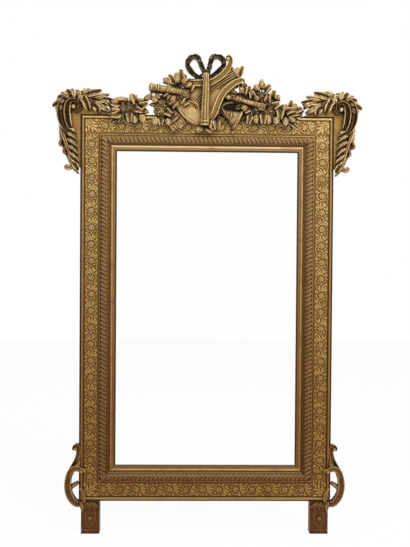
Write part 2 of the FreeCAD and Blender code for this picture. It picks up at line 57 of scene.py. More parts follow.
def add(tree, kind, settings, links, out=0):
    """Add a node, set its options, socket values or colour stops, link its inputs, and return an output."""
    made = tree.nodes.new(kind)
    for key, value in settings.items():
        if key == "stops":
            spots = made.color_ramp.elements
            while len(spots) < len(value):
                spots.new(0.5)
            for spot, (position, code) in zip(spots, value):
                spot.position = position
                spot.color = linear(code)
        elif isinstance(key, str) and hasattr(made, key):
            setattr(made, key, value)
        else:
            made.inputs[key].default_value = value
    for key, source in links.items():
        tree.links.new(source, made.inputs[key])
    return made.outputs[out]


def surface(name):
    """New material with its tree, shader and object coordinates."""
    made = bpy.data.materials.new(name)
    made.use_nodes = True
    tree = made.node_tree
    return made, tree, tree.nodes["Principled BSDF"], add(tree, "ShaderNodeTexCoord", {}, {}, "Object")


def timber(name, streak_mm, stops, roughness, shift=0.0):
    """Wood with its grain drawn out along one axis: streak_mm is the size of a streak on X, Y and Z, and
    shift takes the wood from another plank."""
    made, tree, shader, where = surface(name)
    drawn = add(tree, "ShaderNodeMapping",
                {"Scale": [1 / (size * MM) for size in streak_mm], "Location": (shift, shift, shift)},
                {"Vector": where})
    grain = add(tree, "ShaderNodeTexNoise", {"Scale": 1.0, "Detail": 6, "Roughness": 0.6},
                {"Vector": drawn}, "Fac")
    colour = add(tree, "ShaderNodeValToRGB", {"stops": stops}, {"Fac": grain})
    tree.links.new(colour, shader.inputs["Base Color"])
    shader.inputs["Roughness"].default_value = roughness
    rough = add(tree, "ShaderNodeBump", {"Distance": 0.6 * MM, "Strength": 0.35}, {"Height": grain})
    tree.links.new(rough, shader.inputs["Normal"])
    return made


def dress(names, material):
    """Give CAD pieces their material."""
    for name in names:
        nodes[name].data.materials.clear()
        nodes[name].data.materials.append(material)


# Dry, open-grained pine: mid brown and dull, with darker streaks along each board. They are drawn three
# to 50 mm, wider than the real growth rings, so that they show.
STREAK_W, STREAK_L = 50 / 3, 400
UPRIGHT, LEVEL = (STREAK_W, STREAK_W, STREAK_L), (STREAK_L, STREAK_W, STREAK_W)
GRAIN_STOPS = (0.30, 0.50, 0.68)
DRY = 0.75
pine_stops = list(zip(GRAIN_STOPS, ("#4a3018", "#6f4c2a", "#8a6540")))
pine_upright = timber("Old_pine_upright", UPRIGHT, pine_stops, DRY)
pine_across = timber("Old_pine_across", LEVEL, pine_stops, DRY)
dress(["stile_left", "stile_right", "crest_battens", "corner_pegs"], pine_upright)
dress(["rail_top", "rail_bottom", "glazing_blocks"], pine_across)
# Each back board comes from another plank, so its tone and its streaks differ from the next one's.
NEXT_PLANK = 3.7
board_tones = (
    ("#3d2613", "#5d3e21", "#7b5833"),
    ("#4f3519", "#76522c", "#926c44"),
    ("#442b15", "#684626", "#83603a"),
    ("#4a2d17", "#6b4728", "#8f6640"),
)
for i, tones in enumerate(board_tones, 1):
    board = timber(f"Old_pine_board_{i}", LEVEL, list(zip(GRAIN_STOPS, tones)), DRY, NEXT_PLANK * i)
    dress([f"back_board_{i}"], board)

# Crest board
# Cut-out softwood board behind the carvings, coloured almost black as painted shade, so that it reads as
# shadow in the gaps.
# It stands on the top rail and is screwed to the two battens.
TONED_STREAK_L = 250
gap_shade_stops = ((0.30, "#0b0603"), (0.55, "#180e06"), (0.75, "#26170a"))
# The near-black tone is painted shade for the gaps; the wood is left without shine.
gap_shade_board = timber("Gap_shade_board", (TONED_STREAK_L, STREAK_W, STREAK_W), gap_shade_stops, roughness=0.85)
dress(["crest_board"], gap_shade_board)

# Mirror plate
# Thin plate of silvered glass behind the sight moulding, held by glazing blocks.
# Damp has got under the silver along the upright edges.
FOX_SPOT = 9
FOX_REACH = 30
# Silver on glass: a bright, sharp reflection, with grey foxing that fades out a little way in.
plate_silver, tree, shader, where = surface("Silvered_plate")
spots = add(tree, "ShaderNodeTexNoise", {"Scale": 1 / (FOX_SPOT * MM), "Detail": 5}, {"Vector": where}, "Fac")
spots = add(tree, "ShaderNodeMapRange", {"From Min": 0.60, "From Max": 0.68}, {"Value": spots})
across = add(tree, "ShaderNodeSeparateXYZ", {}, {"Vector": where}, "X")
across = add(tree, "ShaderNodeMath", {"operation": "ABSOLUTE"}, {0: across})
plate_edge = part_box("mirror_plate")[1][0]
rim = add(tree, "ShaderNodeMapRange", {"From Min": plate_edge - FOX_REACH * MM, "From Max": plate_edge},
          {"Value": across})
fox = add(tree, "ShaderNodeMath", {"operation": "MULTIPLY"}, {0: spots, 1: rim})
silver = add(tree, "ShaderNodeValToRGB", {"stops": ((0.0, "#fefefe"), (1.0, "#8d8676"))}, {"Fac": fox})
tree.links.new(silver, shader.inputs["Base Color"])
shader.inputs["Metallic"].default_value = 1.0
shader.inputs["Roughness"].default_value = 0.03
dress(["mirror_plate"], plate_silver)


# Mouldings
# Gessoed wood covered with gold leaf over red bole. Four lengths of each profile are mitred round the carcass
# and glued to its front. The leaf is rubbed pale on the beads, which carry a painted highlight, and the
# grooves carry painted shade.
def box_mm(name):
    """Low and high corner of a CAD piece in millimetres."""
    return [[1000 * c for c in corner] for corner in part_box(name)]


HALF_W = box_mm("edge_lip_bottom")[1][0]
BASE_Z = box_mm("edge_lip_bottom")[0][2]
TOP_Z = box_mm("edge_lip_top")[1][2]
sides = ("top", "bottom", "left", "right")
# Rubbed leaf wears off in specks, drawn larger than they are so that they show.
SPECK = 2.5


def shade_and_wear_level(tree, where, reach_mm):
    """How dark or bright the gilding is made, 0 to 1, and its specks: painted shade in hollows narrower than
    reach_mm, rubbed leaf with a painted highlight on the edges."""
    # Ambient occlusion darkens the hollows as painted shade; pointiness brightens the ridges as rubbed leaf
    # and a painted highlight.
    painted_shade = add(tree, "ShaderNodeAmbientOcclusion", {"samples": 8, "Distance": reach_mm * MM}, {}, "AO")
    edge_wear_and_highlight = add(tree, "ShaderNodeNewGeometry", {}, {}, "Pointiness")
    speck = add(tree, "ShaderNodeTexNoise", {"Scale": 1 / (SPECK * MM), "Detail": 3},
                {"Vector": where}, "Fac")
    painted_shade = add(tree, "ShaderNodeMapRange", {"From Min": 0.3, "From Max": 0.98, "To Max": 0.78}, {"Value": painted_shade})
    edge_wear_and_highlight = add(tree, "ShaderNodeMapRange",
                {"From Min": 0.44, "From Max": 0.58, "To Min": -0.14, "To Max": 0.2}, {"Value": edge_wear_and_highlight})
    grain = add(tree, "ShaderNodeMapRange",
                {"From Min": 0.25, "From Max": 0.75, "To Min": -0.2, "To Max": 0.2}, {"Value": speck})
    level = add(tree, "ShaderNodeMath", {"operation": "ADD"}, {0: painted_shade, 1: edge_wear_and_highlight})
    level = add(tree, "ShaderNodeMath", {"operation": "ADD", "use_clamp": True}, {0: level, 1: grain})
    return level, speck


# The gilding darkens from the first height down to the second: painted shade for light that falls off towards
# the floor.
UNSHADED_Z, SHADED_Z = 1350, 400
BARE_BLOTCH = 22


def finish(tree, shader, where, colour, speck, shine, roughness, dust_and_top_light):
    """Join a gilding's colour to its shader: darker and browner towards the floor as painted shade for light
    that falls off from the lamp above, dusty and painted lighter on the faces that look up, bare behind, with
    the brush marks of the gesso as bumps."""
    low = add(tree, "ShaderNodeSeparateXYZ", {}, {"Vector": where}, "Z")
    low = add(tree, "ShaderNodeMapRange",
              {"From Min": UNSHADED_Z * MM, "From Max": SHADED_Z * MM, "To Max": 0.8}, {"Value": low})
    floor_shade = {"data_type": "RGBA", "blend_type": "MULTIPLY", 7: linear("#bd9848")}
    colour = add(tree, "ShaderNodeMix", floor_shade, {0: low, 6: colour}, 2)
    # Faces that look up turn paler towards a dust colour: real dust and a painted light from above.
    way = add(tree, "ShaderNodeNewGeometry", {}, {}, "Normal")
    way = add(tree, "ShaderNodeSeparateXYZ", {}, {"Vector": way}, "Z")
    upward_dust_and_light = add(tree, "ShaderNodeMapRange", {"From Min": 0.2, "From Max": 0.9, "To Max": dust_and_top_light},
                 {"Value": way})
    colour = add(tree, "ShaderNodeMix", {"data_type": "RGBA", 7: linear("#bcab7c")},
                 {0: upward_dust_and_light, 6: colour}, 2)
    behind = add(tree, "ShaderNodeMapRange", {"From Min": 0.6, "From Max": 0.9},
                 {"Value": way.node.outputs["Y"]})
    bare = add(tree, "ShaderNodeTexNoise",
               {"Scale": 1 / (BARE_BLOTCH * MM), "Detail": 7, "Roughness": 0.65}, {"Vector": where}, "Fac")
    bare = add(tree, "ShaderNodeValToRGB",
               {"stops": ((0.32, "#33200f"), (0.52, "#523720"), (0.68, "#73532f"))}, {"Fac": bare})
    colour = add(tree, "ShaderNodeMix", {"data_type": "RGBA"}, {0: behind, 6: colour, 7: bare}, 2)
    tree.links.new(colour, shader.inputs["Base Color"])
    shader.inputs["Metallic"].default_value = shine
    shader.inputs["Roughness"].default_value = roughness
    rough = add(tree, "ShaderNodeBump", {"Distance": 0.5 * MM, "Strength": 0.35}, {"Height": speck})
    tree.links.new(rough, shader.inputs["Normal"])


# Each strip of the profile has its own colour, so the colour follows the distance in from the outer edge: the
# leaf's tone, with painted shade in the grooves, on the outer ledge and at the sight edge, and a painted
# highlight on the beads. A row is where the strip starts and ends, its colour on the stiles and its colour on
# the rails, whose beads carry a brighter painted highlight.
painted_light_strips = (
    (0, 6, "#3a2410", "#3a2410"),
    (6, 13.5, "#aa834a", "#d8b26c"),
    (13.5, 15, "#7a5226", "#7a5226"),
    (15, 64, "#966e30", "#966e30"),
    (64, 66, "#5a3510", "#5a3510"),
    (66, 71, "#b48a4e", "#d0a662"),
    (71, 74, "#3a1f0a", "#3a1f0a"),
    (74, 93.5, "#563618", "#563618"),
    (93.5, 97, "#b08a54", "#c49e62"),
    (97, 104, "#74522a", "#6a4522"),
    (104, 112, "#c49e62", "#f2ce92"),
    (112, 118.5, "#987a48", "#a4854e"),
    (118.5, 124, "#4a3620", "#4a3620"),
)
FACE_W = painted_light_strips[-1][1]
SOFT_EDGE = 0.4
RUBBED_PATCH = 45
# Gold leaf with painted shade in its grooves and painted highlights on the beads, over a soft metal shine,
# with brown patches of bole between.
band_gilt, tree, shader, where = surface("Moulding_gilding")
x = add(tree, "ShaderNodeSeparateXYZ", {}, {"Vector": where}, "X")
aside = add(tree, "ShaderNodeMath", {"operation": "ABSOLUTE"}, {0: x})
in_x = add(tree, "ShaderNodeMath", {"operation": "SUBTRACT", 0: HALF_W * MM}, {1: aside})
above = add(tree, "ShaderNodeMath", {"operation": "SUBTRACT", 1: (TOP_Z + BASE_Z) / 2 * MM},
            {0: x.node.outputs["Z"]})
above = add(tree, "ShaderNodeMath", {"operation": "ABSOLUTE"}, {0: above})
in_z = add(tree, "ShaderNodeMath", {"operation": "SUBTRACT", 0: (TOP_Z - BASE_Z) / 2 * MM}, {1: above})
inwards = add(tree, "ShaderNodeMath", {"operation": "MINIMUM"}, {0: in_x, 1: in_z})
share = add(tree, "ShaderNodeMapRange", {"From Max": FACE_W * MM}, {"Value": inwards})
on_side = []
for column in (2, 3):
    stops = []
    for row in painted_light_strips:
        stops += [(at / FACE_W, row[column]) for at in (row[0] + SOFT_EDGE, row[1] - SOFT_EDGE)]
    on_side.append(add(tree, "ShaderNodeValToRGB", {"stops": stops}, {"Fac": share}))
# The rails take the second column, brighter on the beads: a painted highlight for light from above.
rail_highlight = add(tree, "ShaderNodeMath", {"operation": "LESS_THAN"}, {0: in_z, 1: in_x})
strip = add(tree, "ShaderNodeMix", {"data_type": "RGBA"}, {0: rail_highlight, 6: on_side[0], 7: on_side[1]}, 2)
level, speck = shade_and_wear_level(tree, where, 6)
# Painted shade in the hollows and a painted highlight on the edges, with rubbed specks.
shade_and_wear_stops = ((0.0, "#4c3824"), (0.5, "#b8a88e"), (0.85, "#ffffff"))
shade_and_wear = add(tree, "ShaderNodeValToRGB", {"stops": shade_and_wear_stops}, {"Fac": level})
gilt = add(tree, "ShaderNodeMix", {"data_type": "RGBA", "blend_type": "MULTIPLY", 0: 1.0},
           {6: strip, 7: shade_and_wear}, 2)
patch = add(tree, "ShaderNodeTexNoise", {"Scale": 1 / (RUBBED_PATCH * MM), "Detail": 5},
            {"Vector": where}, "Fac")
patch = add(tree, "ShaderNodeMapRange", {"From Min": 0.5, "From Max": 0.75, "To Max": 0.5}, {"Value": patch})
gilt = add(tree, "ShaderNodeMix", {"data_type": "RGBA", 7: linear("#6a4522")}, {0: patch, 6: gilt}, 2)
finish(tree, shader, where, gilt, speck, shine=0.55, roughness=0.4, dust_and_top_light=0.5)
for moulding in ("edge_lip", "frieze", "ribbon_moulding", "sight_moulding"):
    dress([f"{moulding}_{side}" for side in sides], band_gilt)


# Frieze foliage
# Pressed composition: a running stem that curls round a rosette, then throws off fans of leaves, the
# curl turned over at every other repeat. It is glued to the flat frieze and gilded with it.
def gilding(name, reach_mm, stops, bole, shine=0.55, roughness=0.4, patch_mm=38):
    """Worn gold leaf on carving. The stops run from painted shade in hollows narrower than reach_mm to the
    rubbed leaf with a painted highlight on the edges; bole is the ground that shows in patches patch_mm wide."""
    made, tree, shader, where = surface(name)
    level, speck = shade_and_wear_level(tree, where, reach_mm)
    leaf = add(tree, "ShaderNodeValToRGB", {"stops": stops}, {"Fac": level})
    patch = add(tree, "ShaderNodeTexNoise", {"Scale": 1 / (patch_mm * MM), "Detail": 4},
                {"Vector": where}, "Fac")
    patch = add(tree, "ShaderNodeMapRange", {"From Min": 0.5, "From Max": 0.78, "To Max": 0.6},
                {"Value": patch})
    worn = add(tree, "ShaderNodeMix", {"data_type": "RGBA", 7: linear(bole)}, {0: patch, 6: leaf}, 2)
    finish(tree, shader, where, worn, speck, shine, roughness, dust_and_top_light=0.26)
    return made


def section(name, height, count):
    """Outline of a carved band across its width, from a formula for its height at -1 to 1."""
    data = bpy.data.curves.new(name, "CURVE")
    data.dimensions = "2D"
    across = [2 * i / count - 1 for i in range(count + 1)]
    points = [(-1, 0)] + [(a, height(a)) for a in across] + [(1, 0)]
    spline = data.splines.new("POLY")
    spline.points.add(len(points) - 1)
    spline.use_cyclic_u = True
    for point, (a, h) in zip(spline.points, points):
        point.co = (a, h, 0, 1)
    made = bpy.data.objects.new(name, data)
    bpy.context.scene.collection.objects.link(made)
    made.hide_render = True
    return made


def dome(a):
    """Height of a half-round at -1 to 1."""
    return math.sqrt(max(0.0, 1 - a * a))


def veined(a):
    """Height of a leaf with a groove for its vein."""
    return 0.1 + dome(a) * (0.78 + 0.22 * min(1, abs(a) / 0.22))


def cupped(a):
    """Height of a band with a hollow face between two lips."""
    return 0.62 + 0.38 * min(1, max(0, (abs(a) - 0.25) / 0.5))


round_band = section("Round_band", lambda a: 0.08 + 0.92 * dome(a), 8)
leaf_band = section("Leaf_band", veined, 10)
small_leaf_band = section("Small_leaf_band", veined, 6)
cupped_band = section("Cupped_band", cupped, 12)


def mesh_of(data):
    """Mesh of a curve, which is used up."""
    shape = bpy.data.objects.new("stroke", data)
    bpy.context.scene.collection.objects.link(shape)
    mesh = bpy.data.meshes.new_from_object(shape.evaluated_get(bpy.context.evaluated_depsgraph_get()))
    bpy.data.objects.remove(shape)
    bpy.data.curves.remove(data)
    return mesh


def carve(strokes, band, relief, steps=4):
    """Mesh of bands swept along strokes, with so many steps from point to point. A stroke's
    points are (across, up, half width, lift), in millimetres, and relief is a band's height over its
    half width. The mesh has across, up and height as X, Y and Z."""
    data = bpy.data.curves.new("stroke", "CURVE")
    data.dimensions = "3D"
    data.twist_mode = "Z_UP"
    data.bevel_mode = "OBJECT"
    data.bevel_object = band
    data.resolution_u = steps
    data.use_fill_caps = True
    for points in strokes:
        spline = data.splines.new("BEZIER")
        spline.bezier_points.add(len(points) - 1)
        for knot, (x, z, r, *lift) in zip(spline.bezier_points, points):
            knot.co = (x, z, (lift or (0,))[0] / relief)
            knot.radius = r
            knot.handle_left_type = "AUTO"
            knot.handle_right_type = "AUTO"
    mesh = mesh_of(data)
    mesh.transform(Matrix.Diagonal((1, 1, relief, 1)))
    return mesh


def beads(spots):
    """Mesh of half-sunk balls at (across, up, radius, lift)."""
    made = bmesh.new()
    for x, z, r, lift in spots:
        bmesh.ops.create_uvsphere(made, u_segments=10, v_segments=7, radius=r,
                                  matrix=Matrix.Translation((x, z, lift)))
    mesh = bpy.data.meshes.new("beads")
    made.to_mesh(mesh)
    made.free()
    return mesh


CREASE = math.radians(52)


def piece(name, meshes, places, material, replaced=()):
    """One object of the meshes, copied to each place, riding on the mirror."""
    made = bmesh.new()
    for place in places:
        for mesh in meshes:
            copy = mesh.copy()
            copy.transform(place)
            made.from_mesh(copy)
            bpy.data.meshes.remove(copy)
    bmesh.ops.recalc_face_normals(made, faces=made.faces)
    mesh = bpy.data.meshes.new(name)
    made.to_mesh(mesh)
    made.free()
    mesh.shade_smooth()
    mesh.set_sharp_from_angle(angle=CREASE)
    mesh.materials.append(material)
    obj = bpy.data.objects.new(name, mesh)
    bpy.context.scene.collection.objects.link(obj)
    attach(obj, "mirror")
    if replaced:
        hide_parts(*replaced)


def facing(x, z, h, flip=1):
    """Place of a carving: its X across, its Y up and its Z out of the front, from (x, z) and height h."""
    return Matrix(((flip * MM, 0, 0, x * MM), (0, 0, -MM, -h * MM), (0, MM, 0, z * MM), (0, 0, 0, 1)))


def length_of(moulding, side):
    """One length of a moulding: its corners, whether it stands upright, and where it starts and stops."""
    low, high = box_mm(f"{moulding}_{side}")
    upright = side in ("left", "right")
    along = 2 if upright else 0
    return low, high, upright, low[along], high[along]


def along_length(upright, at, middle, h):
    """Place at a distance along a length of moulding, turned up where the length stands upright."""
    if upright:
        return facing(middle, at, h) @ Matrix.Rotation(math.pi / 2, 4, "Z")
    return facing(at, middle, h)


def petals(x, z, start, reach, w, count, turn, lift):
    """Strokes of a ring of petals."""
    strokes = []
    for i in range(count):
        a = turn + 2 * math.pi * i / count
        spots = ((start, 0.55, 0), (0.62 * reach, 1.0, 0.3), (reach, 0.5, 0))
        strokes.append([(x + d * math.cos(a), z + d * math.sin(a), w * s, lift + k * w) for d, s, k in spots])
    return strokes


def lobes(lines, w, lift=0.0):
    """Strokes of leaf lobes through (x, z) points: narrow at the root, full in the middle, blunt at the
    tip."""
    strokes = []
    for line in lines:
        stroke = []
        for i, (x, z) in enumerate(line):
            share = i / (len(line) - 1)
            swell = math.sin(math.pi * share)
            stroke.append((x, z, w * (0.55 + 0.45 * swell - 0.25 * share), lift + 0.45 * w * swell))
        strokes.append(stroke)
    return strokes


def fan(x, z, rows):
    """Lines of leaves from one root: rows of (angle in degrees, length, bend)."""
    lines = []
    for angle, length, bend in rows:
        cos, sin = math.cos(math.radians(angle)), math.sin(math.radians(angle))
        line = []
        for d, k in ((0.1, 0), (0.45, 1), (0.8, 0.7), (1.0, 0)):
            line.append((x + d * length * cos + k * bend * -sin, z + d * length * sin + k * bend * cos))
        lines.append(line)
    return lines


# Thin leaf over brown ground: mid gold on the leaves, brown between them and darker there as painted shade.
frieze_stops = ((0.0, "#402306"), (0.35, "#7a541d"), (0.65, "#aa813c"), (1.0, "#f2d28e"))
frieze_gilt = gilding("Frieze_gilding", 5, frieze_stops, "#7d4f1c")
UNIT = 58.0
ROSETTE_X, ROSETTE_Z = 20, 0.5
RING_R, RING_LEAN = 15, 52
scroll = [(-6, 17, 1.6), (6, 20, 2.0), (20, 20.5, 2.2), (32, 14, 2.2), (37, 1, 2.2), (32, -12, 2.1),
          (20, -17, 2.0), (9, -12, 1.9), (5, 0, 1.8), (9, 9, 1.6), (17, 12, 1.3)]
runner = [(36, 6, 1.8), (41, -8, 2.2), (47, -16, 2.1), (54, -18, 1.8)]
ring_leaves = []
for i, length in enumerate((11, 8, 10, 8, 11, 8, 10, 9)):
    turn = 20 + 45 * i
    a = math.radians(turn)
    ring_leaves += fan(ROSETTE_X + RING_R * math.cos(a), RING_R * math.sin(a),
                       [(turn - RING_LEAN, length, -2)])
big_leaves = fan(40, -3, ((84, 25, 3), (56, 25, 3), (28, 21, 2), (-4, 17, -2), (-42, 13, -2)))
side_leaves = fan(35, 14, ((62, 10, 0), (20, 12, 0), (104, 9, 0)))
side_leaves += fan(33, -15, ((-60, 8, 0), (-20, 9, 0), (-110, 8, 0)))
side_leaves += fan(4, -14, ((-150, 11, 0), (-110, 9, 0), (160, 10, 0)))
outer_petals = petals(ROSETTE_X, ROSETTE_Z, start=3, reach=11, w=3.3, count=7, turn=0.3, lift=0.6)
inner_petals = petals(ROSETTE_X, ROSETTE_Z, start=1, reach=6, w=2.3, count=5, turn=0.1, lift=2.0)
foliage = [
    carve([scroll, runner], round_band, 1.3, 3),
    carve(lobes(ring_leaves, 3.1), small_leaf_band, 0.95, 2),
    carve(lobes(big_leaves, 4.0), small_leaf_band, 0.8, 3),
    carve(lobes(side_leaves, 3.0), small_leaf_band, 0.85, 2),
    carve(outer_petals, small_leaf_band, 0.85, 2),
    carve(inner_petals, small_leaf_band, 0.9, 2),
    beads([(ROSETTE_X, ROSETTE_Z, 2.4, 3.2), (56, 19, 2.4, 0.8), (49, -9, 2.2, 1.0), (45, 21, 2.0, 0.8)]),
]
# A spread leaf covers each mitre, drawn from the outer corner inwards.
mitre_lines = [
    [(3, 3), (16, 16), (30, 30)],
    [(8, 4), (20, 7), (34, 5)],
    [(4, 8), (7, 20), (5, 34)],
    [(16, 9), (31, 15), (45, 13)],
    [(9, 16), (15, 31), (13, 45)],
    [(24, 19), (38, 27), (50, 26)],
    [(19, 24), (27, 38), (26, 50)],
    [(27, 27), (38, 38), (49, 49)],
    [(32, 6), (42, 6), (50, 4)],
    [(6, 32), (6, 42), (4, 50)],
]
mitre_leaf = [
    carve(lobes(mitre_lines, 5.4), leaf_band, 0.62),
    beads([(48, 17, 2.4, 0.6), (17, 48, 2.4, 0.6), (14, 14, 3.2, 2)]),
]
ground_h = -box_mm("frieze_top")[0][1]
for side in sides:
    low, high, upright, start, stop = length_of("frieze", side)
    band_w = min(high[0] - low[0], high[2] - low[2])
    middle = (low[0] + high[0]) / 2 if upright else (low[2] + high[2]) / 2
    count = round((stop - start - 2 * band_w) / UNIT)
    pitch = (stop - start - 2 * band_w) / count
    places = []
    for i in range(count):
        turned_over = Matrix.Diagonal((pitch / UNIT, 1 if i % 2 == 0 else -1, 1, 1))
        places.append(along_length(upright, start + band_w + i * pitch, middle, ground_h) @ turned_over)
    piece("Foliage_" + side, foliage, places, frieze_gilt)
frieze_edge, frieze_top = box_mm("frieze_top")[1][0], box_mm("frieze_top")[1][2]
frieze_bottom = box_mm("frieze_bottom")[0][2]
mitres = [facing(s * frieze_edge, z, ground_h, -s) @ Matrix.Diagonal((1, t, 1, 1))
          for s in (-1, 1) for z, t in ((frieze_top, -1), (frieze_bottom, 1))]
piece("Foliage_corners", mitre_leaf, mitres, frieze_gilt)

# Ribbon moulding
# Twisted ribbon carved round a half-round rod, in four mitred lengths between frieze and sight edge.
# One turn of the ribbon follows another up to the mitres, where the rod is left bare.
ROD_HALF = 10.5
ROD_FOOT = 6.0
ROD_IN = 13.5
TURN = 14.6
BARE_END = 22.0
RIBBON_HALF = 4.0
SLANT = 0.62
SUNK = 0.8
# Brown gilding, rubbed to gold on top, with painted shade dark where the ribbon turns under.
ribbon_stops = ((0.0, "#38220e"), (0.45, "#694a28"), (0.8, "#906e40"), (1.0, "#c6a268"))
ribbon_gilt = gilding("Ribbon_gilding", 5, ribbon_stops, "#76521f")
rod_top = -box_mm("ribbon_moulding_top")[0][1]
for side in sides:
    low, high, upright, start, stop = length_of("ribbon_moulding", side)
    inner = {"top": low[2], "bottom": high[2], "left": high[0], "right": low[0]}[side]
    inward = {"top": -1, "bottom": 1, "left": 1, "right": -1}[side]
    middle = inner - inward * ROD_IN
    count = round((stop - start - 2 * BARE_END) / TURN)
    pitch = (stop - start - 2 * BARE_END) / count
    turns = []
    for i in range(count + 1):
        at = start + BARE_END + i * pitch
        stroke = []
        for d in (-9.6, -7.6, -4, 0, 4, 7.6, 9.6):
            height = ROD_FOOT + (rod_top - ROD_FOOT) * dome(d / ROD_HALF) - SUNK
            stroke.append((at + SLANT * d, d * inward, RIBBON_HALF, height))
        turns.append(stroke)
    ribbon = carve(turns, cupped_band, 0.6, 2)
    piece("Ribbon_" + side, [ribbon], [along_length(upright, 0, middle, 0)], ribbon_gilt)

# Feet
# Square wooden blocks with a plinth line and a leaf boss carved on the front.
# A tongue behind runs up into the corner of the carcass and is screwed.
BOSS_Z = 56
FOOT_FACE = 5
# Gilding rubbed through to the wood: dark brown, darkest in the hollows as painted shade, with a little gold
# left on the edges.
foot_stops = ((0.0, "#281402"), (0.35, "#4c2b09"), (0.75, "#704714"), (1.0, "#b0863f"))
foot_gilt = gilding("Foot_gilding", 9, foot_stops, "#452506", shine=0.6, roughness=0.5)
dress(["foot_left", "foot_right"], foot_gilt)
hanging_leaf = fan(0, 50, [(-90, 26, 0), (-58, 30, 3), (-122, 30, -3), (-32, 32, 3), (-148, 32, -3)])
foot_leaf = [
    carve(lobes(hanging_leaf, 8), leaf_band, 0.6),
    carve(petals(0, -2, start=3, reach=15, w=5, count=6, turn=0.5, lift=0), leaf_band, 0.4, 3),
    beads([(0, -2, 9, 4)]),
    carve([[(-30, -43, 2.4), (0, -43, 2.4), (30, -43, 2.4)]], round_band, 0.9),
]
for side in ("left", "right"):
    low, high = box_mm("foot_" + side)
    boss_place = facing((low[0] + high[0]) / 2, BOSS_Z, FOOT_FACE)
    piece("Foot_leaf_" + side, foot_leaf, [boss_place], foot_gilt)

# Scroll brackets
# Pierced S-scrolls outside the bottom corners, carved with a hollow band and leaves that lap over the
# lip, and glued to the outer faces of the stiles.
BRACKET_BACK = -12
hands = (("left", -1), ("right", 1))
# Old leaf on deep carving: near black in the hollows as painted shade, dull gold on the faces, pale on the
# edges where rubbed and painted brighter.
carving_stops = ((0.0, "#100701"), (0.35, "#2c1706"), (0.6, "#5e3f1b"), (0.78, "#936e38"), (0.95, "#ecd09a"))
carving_gilt = gilding("Carving_gilding", 38, carving_stops, "#6b4520")
outer_scroll = [(17, 174, 4), (17, 183, 6), (8, 189, 7), (2, 180, 7), (2, 166, 7), (6, 146, 8), (17, 120, 10),
                (30, 94, 11), (37, 64, 11), (35, 34, 11), (24, 8, 11), (6, -9, 10), (-14, -10, 5)]
inner_curl = [(36, 82, 7, 18), (30, 100, 9, 20), (14, 113, 10, 22), (-6, 110, 8, 24), (-15, 101, 5, 24)]
strut = [(34, 30, 6, 6), (26, 46, 8, 10), (12, 57, 8, 12), (1, 64, 6, 10)]
foot_lobes = [
    [(-6, 44), (-17, 26), (-20, 4), (-14, -10)],
    [(-8, -2), (-12, -16), (-15, -38)],
]
lip_lobes = [
    [(16, 112), (2, 124), (-4, 140)],
    [(4, 108), (-16, 108), (-30, 98)],
]
bracket = [
    carve([[(x, z, w, 14) for x, z, w in outer_scroll]], cupped_band, 1.0, 8),
    carve([[(x, z, 0.9 * w) for x, z, w in outer_scroll]], round_band, 1.7, 8),
    carve([inner_curl], cupped_band, 0.8, 6),
    carve([strut], round_band, 1.7, 6),
    carve(lobes(foot_lobes, 9, 20), leaf_band, 0.6, 6),
    carve(lobes(lip_lobes, 8, 22), leaf_band, 0.7, 6),
    beads([(11, 179, 6.5, 20), (-10, 104, 6, 27)]),
]
for side, s in hands:
    bracket_place = facing(s * HALF_W, BASE_Z, BRACKET_BACK, s)
    piece("Scroll_bracket_" + side, bracket, [bracket_place], carving_gilt,
          ["scroll_bracket_" + side])

# Top corners
# Flat gilded ears glued round the outside of the corners, each with a C-scroll that ends in a
# volute, a hanging leaf below it, and an acanthus crown that trails along the top rail.
EAR_FACE = 6
# Leaf on a flat ground, little rubbed: plain mid gold, darker only beside the carving as painted shade.
ear_stops = ((0.0, "#3c260f"), (0.5, "#7c5a28"), (1.0, "#aa8444"))
ear_gilt = gilding("Ear_gilding", 12, ear_stops, "#6f4c20")
dress(["corner_ear_left", "corner_ear_right"], ear_gilt)


def ribbed(a):
    """Height of a band with three ribs, the middle one off centre."""
    ribs = ((-0.86, 0.16, 1.0), (0.12, 0.2, 1.0), (0.88, 0.14, 0.8))
    return 0.4 + 0.6 * max(tall * math.exp(-((a - at) / wide) ** 2) for at, wide, tall in ribs)


ribbed_band = section("Ribbed_band", ribbed, 28)
fold_band = section("Fold_band", lambda a: 0.25 + 0.75 * min(1.0, 1.25 * abs(a)), 10)
c_scroll = [(26, 22, 5), (19, 13, 7), (7, 17, 9), (3, 34, 11), (18, 49, 13), (40, 44, 18), (52, 20, 23),
            (52, -14, 24), (44, -42, 20), (32, -58, 14), (20, -61, 9)]
# The crown's leaves stand round the volute, each leaning a little back at its root.
VOLUTE = 22
CROWN_ROOT = 27
crown = []
crown_rows = ((122, 54), (103, 58), (85, 61), (67, 62), (49, 63), (31, 63), (15, 62), (2, 71), (-15, 60))
for angle, reach in crown_rows:
    line = []
    for r, turn in ((CROWN_ROOT, 14), (0.72 * reach, 7), (reach, 0)):
        a = math.radians(angle + turn)
        line.append((VOLUTE + r * math.cos(a), VOLUTE + r * math.sin(a)))
    crown.append(line)
ear_ground = [
    [(-10, 58, 14), (26, 60, 24), (60, 44, 22), (72, 10, 14)],
    [(60, -36, 14), (50, -80, 21), (38, -118, 20), (24, -160, 15), (12, -194, 7)],
    [(-6, 60, 12), (-44, 53, 19), (-80, 45, 17), (-110, 42, 6)],
    [(10, 60, 10), (-22, 52, 12), (-42, 34, 11), (-54, 8, 6)],
]
trail_stem = [(26, 62, 8, 8), (4, 64, 10, 9), (-22, 57, 10, 8), (-40, 38, 9, 6), (-53, 10, 5, 4)]
trail_veined = [
    [(0, 66), (-20, 74), (-40, 79)],
    [(-34, 56), (-66, 58), (-98, 66)],
    [(-40, 40), (-66, 30), (-84, 12)],
    [(-74, 42), (-92, 36), (-106, 24)],
    [(-56, 34), (-78, 20), (-100, 8)],
]
